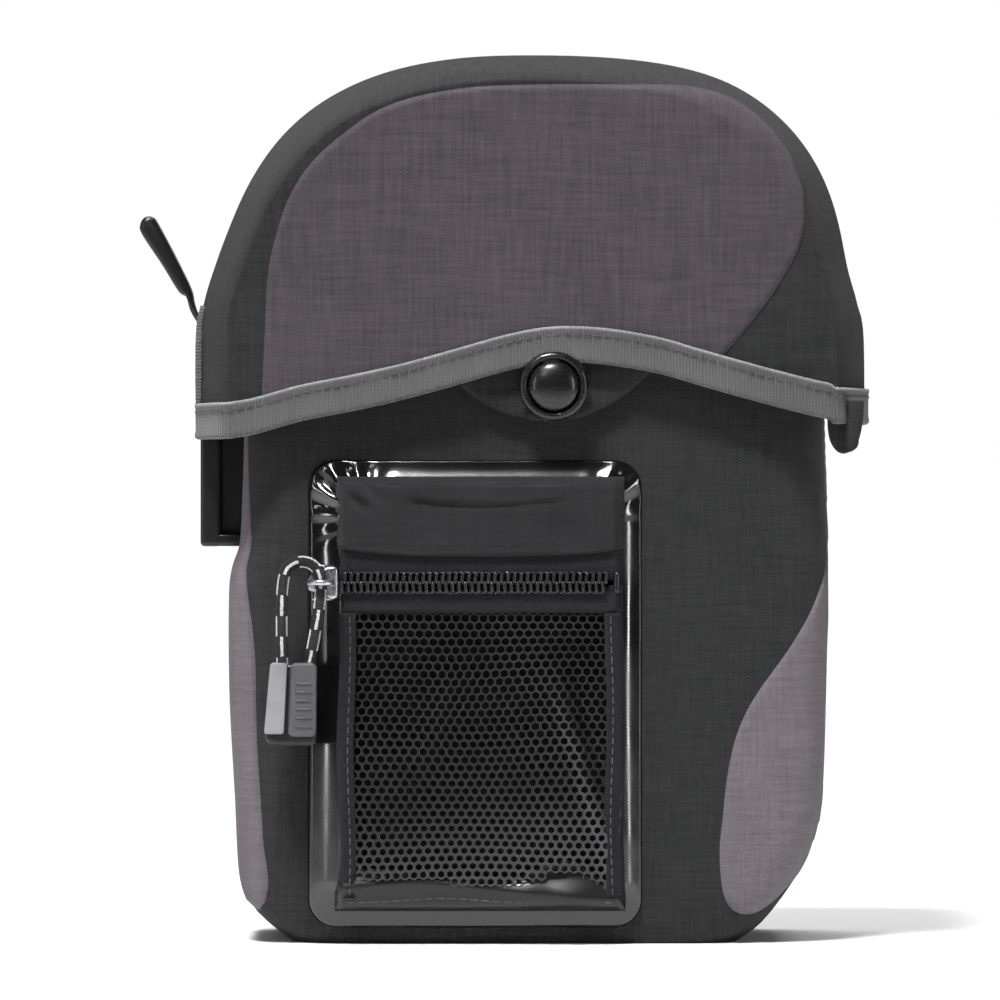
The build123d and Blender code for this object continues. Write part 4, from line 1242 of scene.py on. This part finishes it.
make_frame()
make_upper_panel()
make_tapes()
make_coils()
make_end_stop()
make_net()
make_pocket_shade()
make_pocket_foot()
make_side_seams()


# ---- slider, cord and grip
def box_shape(name, low, high, bevel, segments=3):
    """A moulded block between two corners, its edges rounded."""
    bm = bmesh.new()
    bmesh.ops.create_cube(bm, size=1.0)
    size, middle = (np.array(high) - low) * MM, (np.array(high) + low) / 2 * MM
    bmesh.ops.scale(bm, vec=Vector(size), verts=bm.verts)
    bmesh.ops.translate(bm, vec=Vector(middle), verts=bm.verts)
    bmesh.ops.bevel(bm, geom=bm.edges[:], offset=bevel * MM, segments=segments, profile=0.6, affect="EDGES")
    mesh = bpy.data.meshes.new(name)
    bm.to_mesh(mesh)
    bm.free()
    obj = link(name, mesh)
    obj.modifiers.new("normals", "WEIGHTED_NORMAL")
    return obj


def inset_ring(outline, inset):
    """An outline moved inwards, for one that turns anticlockwise."""
    ahead = np.roll(outline, -1, axis=0) - np.roll(outline, 1, axis=0)
    ahead /= np.linalg.norm(ahead, axis=1)[:, None]
    return outline + inset * np.stack([-ahead[:, 1], ahead[:, 0]], 1)


def rounded(corners, radius):
    """An outline with each of its corners rounded, from (x, z) corners that turn anticlockwise."""
    p = np.array(corners, float)
    points = []
    for before, corner, after in zip(np.roll(p, 1, axis=0), p, np.roll(p, -1, axis=0)):
        a, b = before - corner, after - corner
        a *= min(radius / np.linalg.norm(a), 0.45)
        b *= min(radius / np.linalg.norm(b), 0.45)
        for t in np.linspace(0, 1, CORNER_STEPS):
            points.append(corner + a * (1 - t) ** 2 + b * t ** 2)
    return np.array(points)


def plate(name, outline, back, front, edge):
    """A moulded plate that faces -Y, from an (x, z) outline, its front edge rounded."""
    layers = [(0.5, back), (0.0, back - 0.3), (0.0, front + edge), (0.12 * edge, front + 0.5 * edge),
              (0.45 * edge, front + 0.12 * edge), (edge, front), (edge * 1.6, front)]
    verts = []
    for inset, y in layers:
        verts += [(x, y, z) for x, z in inset_ring(outline, inset)]
    obj = make_object(name, verts, closed_faces(len(layers), len(outline)))
    obj.modifiers.new("normals", "WEIGHTED_NORMAL")
    return obj


CORD_ROUTE = [(-66.7, 71.8), (-67.1, 85.6), (-66.7, 99.8), (-63.7, 102.8), (-59.5, 102.8), (-56.5, 99.8),
              (-56.5, 93.2), (-58.0, 83.2), (-60.4, 71.8)]
CORD_DIAMETER = 3.3
CORD_SIDES = 20


def cord_line():
    """The route's NURBS line, as points in millimetres."""
    data = bpy.data.curves.new("cord_route", "CURVE")
    data.dimensions = "3D"
    data.resolution_u = 32
    spline = data.splines.new("NURBS")
    spline.points.add(len(CORD_ROUTE) - 1)
    for point, (x, z) in zip(spline.points, CORD_ROUTE):
        point.co = (x * MM, PULL_Y * MM, z * MM, 1.0)
    spline.order_u = 3
    spline.use_endpoint_u = True
    holder = bpy.data.objects.new("cord_route", data)
    mesh = bpy.data.meshes.new_from_object(holder)
    line = [tuple(v.co) for v in mesh.vertices]
    bpy.data.objects.remove(holder)
    bpy.data.curves.remove(data)
    return np.array(line) / MM


def make_cord():
    """The flecked cord loop, from the grip up through the slider's eye and back."""
    line = cord_line()
    run = run_along(line)
    loop = plain_object("cord_loop", *tube(line, CORD_DIAMETER / 2, CORD_SIDES))
    store(loop, along=np.repeat(run, CORD_SIDES),
          around=np.tile(np.abs(np.arange(CORD_SIDES) / CORD_SIDES * 2 - 1), len(line)))
    finish_piece(loop, "pull", "cord", ("pull_cord",))


RIBS = 6
RIB_PITCH = 2.3


def make_grip():
    """The moulded grip: dark base, a pale clip down its left side, partly its own pale plastic and partly
    painted light, and a grey pad with plain ribs.
    """
    low, high = GRIP_LOW, GRIP_HIGH
    left, right, foot, top = low[0], high[0], low[2], high[2]
    block = rounded([(left + 0.2, foot + 0.9), (left + 4.5, foot), (right - 0.3, foot),
                     (right - 0.1, top - 0.4), (left + 1.9, top - 0.4)], 2.0)
    body = plate("grip_block", block, high[1], low[1] + 0.9, 1.0)
    finish_piece(body, "pull", "dark_plastic", ("pull_grip",))
    face = node_box("grip_face")
    clip = rounded([(left, foot + 3.2), (left + 5.3, foot + 3.2), (left + 6.2, top), (left + 1.7, top)], 0.9)
    shell = plate("grip_clip", clip, high[1] - 0.6, face[0][1] + 0.1, 0.45)
    # The clip's pale grey is partly its own colour and partly painted light.
    finish_piece(shell, "pull", "light_plastic", ("grip_face",))
    pad = rounded([(left + 6.3, foot + 2.4), (right - 0.3, foot + 2.4), (right - 0.1, top),
                   (left + 7.0, top)], 1.8)
    front = low[1] + 0.15
    cover = plate("grip_pad", pad, high[1] - 1.0, front, 0.8)
    finish_piece(cover, "pull", "dark_plastic", look="grip_plastic")
    ribs = []
    for k in range(RIBS):
        z = foot + 5.2 + RIB_PITCH * k
        ends = [(left + 8.4, front + 0.15, z), (left + 8.9, front - 0.08, z), (right - 1.9, front - 0.08, z),
                (right - 1.4, front + 0.15, z)]
        ribs.append(tube(ends, [0.2, 0.34, 0.34, 0.2], 8))
    finish_piece(make_object("grip_ribs", *join_parts(ribs)), "pull", "dark_plastic", look="grip_plastic")


EYE_X = -56.5
EYE_RADIUS = 2.95
EYE_WIRE = 0.85


def make_slider():
    """The metal slider: a shaped front plate round the chain with a rolled edge above and below, a bar
    behind, and the cord's eye on its front.
    """
    front = PANEL_FRONT - 1.9 - 0.3
    parts = []
    left = SLIDER_LOW[0]
    half = [(0, 2.2), (2.4, 2.7), (5.0, 4.4), (8.0, 4.4)]
    shield = rounded([(left + a, ZIP_Z - b) for a, b in half]
                     + [(left + a, ZIP_Z + b) for a, b in half[::-1]], 1.3)
    front_plate = plate("slider_body", shield, front, front - 1.15, 0.75)
    finish_piece(front_plate, "slider", "bright_metal", ("zip_slider",))
    for side in (-1, 1):
        edge_z = ZIP_Z + side * (SLIDER_HIGH[2] - ZIP_Z + 0.15)
        path = [(left + 1.2, front + 0.2, edge_z), (left + 4.0, front + 0.5, edge_z),
                (left + 6.8, front + 0.5, edge_z)]
        parts.append(tube(path, [0.5, 0.6, 0.5], 8))
    ring = [(cos(a), sin(a)) for a in np.linspace(0, 2 * pi, 33)]
    eye = [(EYE_X + EYE_RADIUS * c, PULL_Y + EYE_RADIUS * s, ZIP_Z) for c, s in ring]
    parts.append(tube(eye, EYE_WIRE, 10, capped=False))
    parts.append(tube([(left + 4.0 + step, SLIDER_HIGH[1] - 0.5, ZIP_Z) for step in (-3.4, 0, 3.4)], 0.5))
    finish_piece(make_object("slider_eye", *join_parts(parts)), "slider", "bright_metal")


make_slider()
make_cord()
make_grip()


# ---- mount
def carry_over(nodes, look):
    """Gives CAD nodes that stay in view a finished material."""
    for node in nodes:
        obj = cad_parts[node]
        obj.data.materials.clear()
        obj.data.materials.append(MATERIALS[look])


LEVER_OUTLINE = [(-84.2, 166.2), (-88.0, 168.4), (-90.9, 170.0), (-92.2, 173.0), (-93.2, 177.4),
                 (-97.6, 186.5), (-101.9, 194.6), (-103.4, 196.6), (-105.6, 196.6), (-106.9, 194.6),
                 (-106.4, 191.8), (-101.0, 183.6), (-96.4, 176.2), (-94.4, 174.8), (-93.2, 171.0),
                 (-91.2, 167.6), (-88.4, 164.6), (-86.3, 160.6), (-83.4, 161.4), (-83.0, 164.4)]


def make_lever():
    """The release lever: a thin stem and a paddle that swells to a rounded tip."""
    outline = smooth(LEVER_OUTLINE, 120, closed=True)
    half = (LEVER_HIGH[1] - LEVER_LOW[1]) / 2
    verts = []
    slices = [(-1.0, 0.55), (-0.96, 0.82), (-0.88, 0.96), (-0.7, 1.0), (0.7, 1.0), (0.88, 0.96), (0.96, 0.82),
              (1.0, 0.55)]
    middle = smooth([(-85.6, 163.2), (-90.9, 168.7), (-94.0, 175.2), (-99.2, 185.0), (-104.6, 193.9)], 120)
    nearest = [middle[np.argmin(np.linalg.norm(middle - p, axis=1))] for p in outline]
    for place, share in slices:
        for point, heart in zip(outline, nearest):
            x, z = heart + (point - heart) * share
            verts.append((x, half * place, z))
    lever = make_object("lever_blade", verts, closed_faces(len(slices), len(outline)))
    finish_piece(lever, "lever", "dark_plastic", ("release_lever",))


def cut(obj, cutters):
    """Takes the cutters' shapes out of a piece."""
    for cutter in cutters:
        step = obj.modifiers.new("cut", "BOOLEAN")
        step.object = cutter
        step.solver = "EXACT"
    bpy.context.view_layer.update()
    made = bpy.data.meshes.new_from_object(obj.evaluated_get(bpy.context.evaluated_depsgraph_get()))
    obj.modifiers.clear()
    obj.data = made
    for cutter in cutters:
        bpy.data.objects.remove(cutter)
    obj.modifiers.new("normals", "WEIGHTED_NORMAL")


SINK_R = 4.0
SINK_STEPS = 40
FLANGE = 5.6
WEB_HALF = 14.0
LIP = 3.4
SLOT_HALF = 8.3
SLOT_DEPTH = 8.2
SLOT_BOTTOM = 156.0


def make_rail():
    """The moulded rail: flange, narrower web and stop lip, with the lever's slot and the screws' sinks."""
    low, high = node_box("mount_rail")
    web_back = low[0] + FLANGE
    flange = box_shape("rail_flange", low, (web_back, high[1], high[2]), 1.3, 4)
    web = box_shape("rail_web", (web_back - 0.4, -WEB_HALF, low[2] + 1.0),
                    (high[0] + 0.3, WEB_HALF, high[2] - 1.0), 0.6)
    lip = box_shape("rail_lip", low + 0.05, (high[0], high[1] - 0.05, low[2] + LIP), 1.2, 4)
    holes = []
    turns = [2 * pi * k / SINK_STEPS for k in range(SINK_STEPS)]
    for y in (-8.0, 8.0):
        for z in (117.0, 143.0):
            ring = [(x, y + SINK_R * cos(a), z + SINK_R * sin(a)) for x in (low[0] - 2.0, low[0] + 3.0)
                    for a in turns]
            holes.append(make_object("cutter", ring, closed_faces(2, SINK_STEPS)))
    slots = [box_shape("cutter", (low[0] - 2, -SLOT_HALF, SLOT_BOTTOM),
                       (low[0] + SLOT_DEPTH, SLOT_HALF, high[2] + 5), 0.05) for _ in range(2)]
    cut(flange, holes + slots[:1])
    cut(web, slots[1:])
    for piece, nodes in ((flange, ("mount_rail",)), (web, ()), (lip, ())):
        finish_piece(piece, "bag", "dark_plastic", nodes)


make_lever()
make_rail()
carry_over(["stiffener_board"], "board")
carry_over(["hinge_piping"], "dark_canvas")
carry_over(["rail_screws", "rail_nuts", "lever_pin", "lever_spring", "snap_socket", "snap_stud",
            "stud_backing"], "bright_metal")


# ---- floor, light and camera
SWEEP_NEAR, SWEEP_FLAT, SWEEP_TOP = -2.4, 0.9, 3.2
SWEEP_BEND = 0.7
SWEEP_HALF = 1.1


def make_stage():
    """A pale sweep: floor, curve and wall in one surface."""
    profile_yz = [(SWEEP_NEAR, 0.0), (SWEEP_FLAT, 0.0)]
    for angle in np.radians(np.linspace(0, 90, 17)[1:]):
        profile_yz.append((SWEEP_FLAT + SWEEP_BEND * sin(angle), SWEEP_BEND * (1 - cos(angle))))
    profile_yz.append((SWEEP_FLAT + SWEEP_BEND, SWEEP_TOP))
    verts = [(x / MM, y / MM, z / MM - 0.02) for y, z in profile_yz for x in (-SWEEP_HALF, SWEEP_HALF)]
    sweep = make_object("stage_sweep", verts, grid_faces(len(profile_yz), 2))
    g = Graph("stage_paper")
    cloud = g.noise(3)
    g.paint((0.93, 0.93, 0.93, 1.0), cloud, 0.985, 1.0)
    g.set("Roughness", 1.0)
    g.set("Specular IOR Level", 0.0)
    sweep.data.materials.append(g.material)
    sweep.data.shade_smooth()


def area_light(name, place, target, size, power, spread=180):
    """A soft rectangular light that faces a point."""
    data = bpy.data.lights.new(name, "AREA")
    data.shape = "RECTANGLE"
    data.size, data.size_y = size
    data.energy = power
    data.spread = radians(spread)
    lamp = link(name, data)
    lamp.location = place
    lamp.rotation_euler = (Vector(target) - Vector(place)).to_track_quat("-Z", "Y").to_euler()


def make_light():
    """A key high in front with a fill, a strip at each side for the glossy parts, and a lit backdrop."""
    area_light("key", (-0.3, -0.8, 1.5), (0, 0, 0.12), (0.36, 0.28), 2.9, spread=50)
    area_light("fill", (-0.7, -1.6, 1.15), (0, 0, 0.14), (0.5, 0.42), 2.4)
    area_light("left_strip", (-1.05, -0.75, 0.25), (0, -0.05, 0.1), (0.06, 0.8), 2.0)
    area_light("right_strip", (1.05, -0.72, 0.25), (0, -0.05, 0.1), (0.06, 0.8), 2.8)
    area_light("backdrop", (0, 0.55, 1.9), (0, 1.5, 0.3), (1.6, 0.6), 34.0)
    world = bpy.data.worlds.new("studio")
    world.use_nodes = True
    world.node_tree.nodes["Background"].inputs["Color"].default_value = (1, 1, 1, 1)
    world.node_tree.nodes["Background"].inputs["Strength"].default_value = 0.05
    bpy.context.scene.world = world


def make_camera():
    """A long lens straight at the front, 268 mm wide across the frame."""
    view_width, distance, sensor = 0.268, 2.6, 0.036
    data = bpy.data.cameras.new("camera")
    data.sensor_width = sensor / MM
    data.lens = sensor * distance / view_width / MM
    data.clip_end = 50.0
    camera = link("camera", data)
    camera.location = (-0.0086, LID_FRONT * MM - distance, 0.1193)
    camera.rotation_euler = (radians(90), 0, 0)
    bpy.context.scene.camera = camera


make_stage()
make_light()
make_camera()
bpy.context.scene.view_settings.view_transform = "Standard"
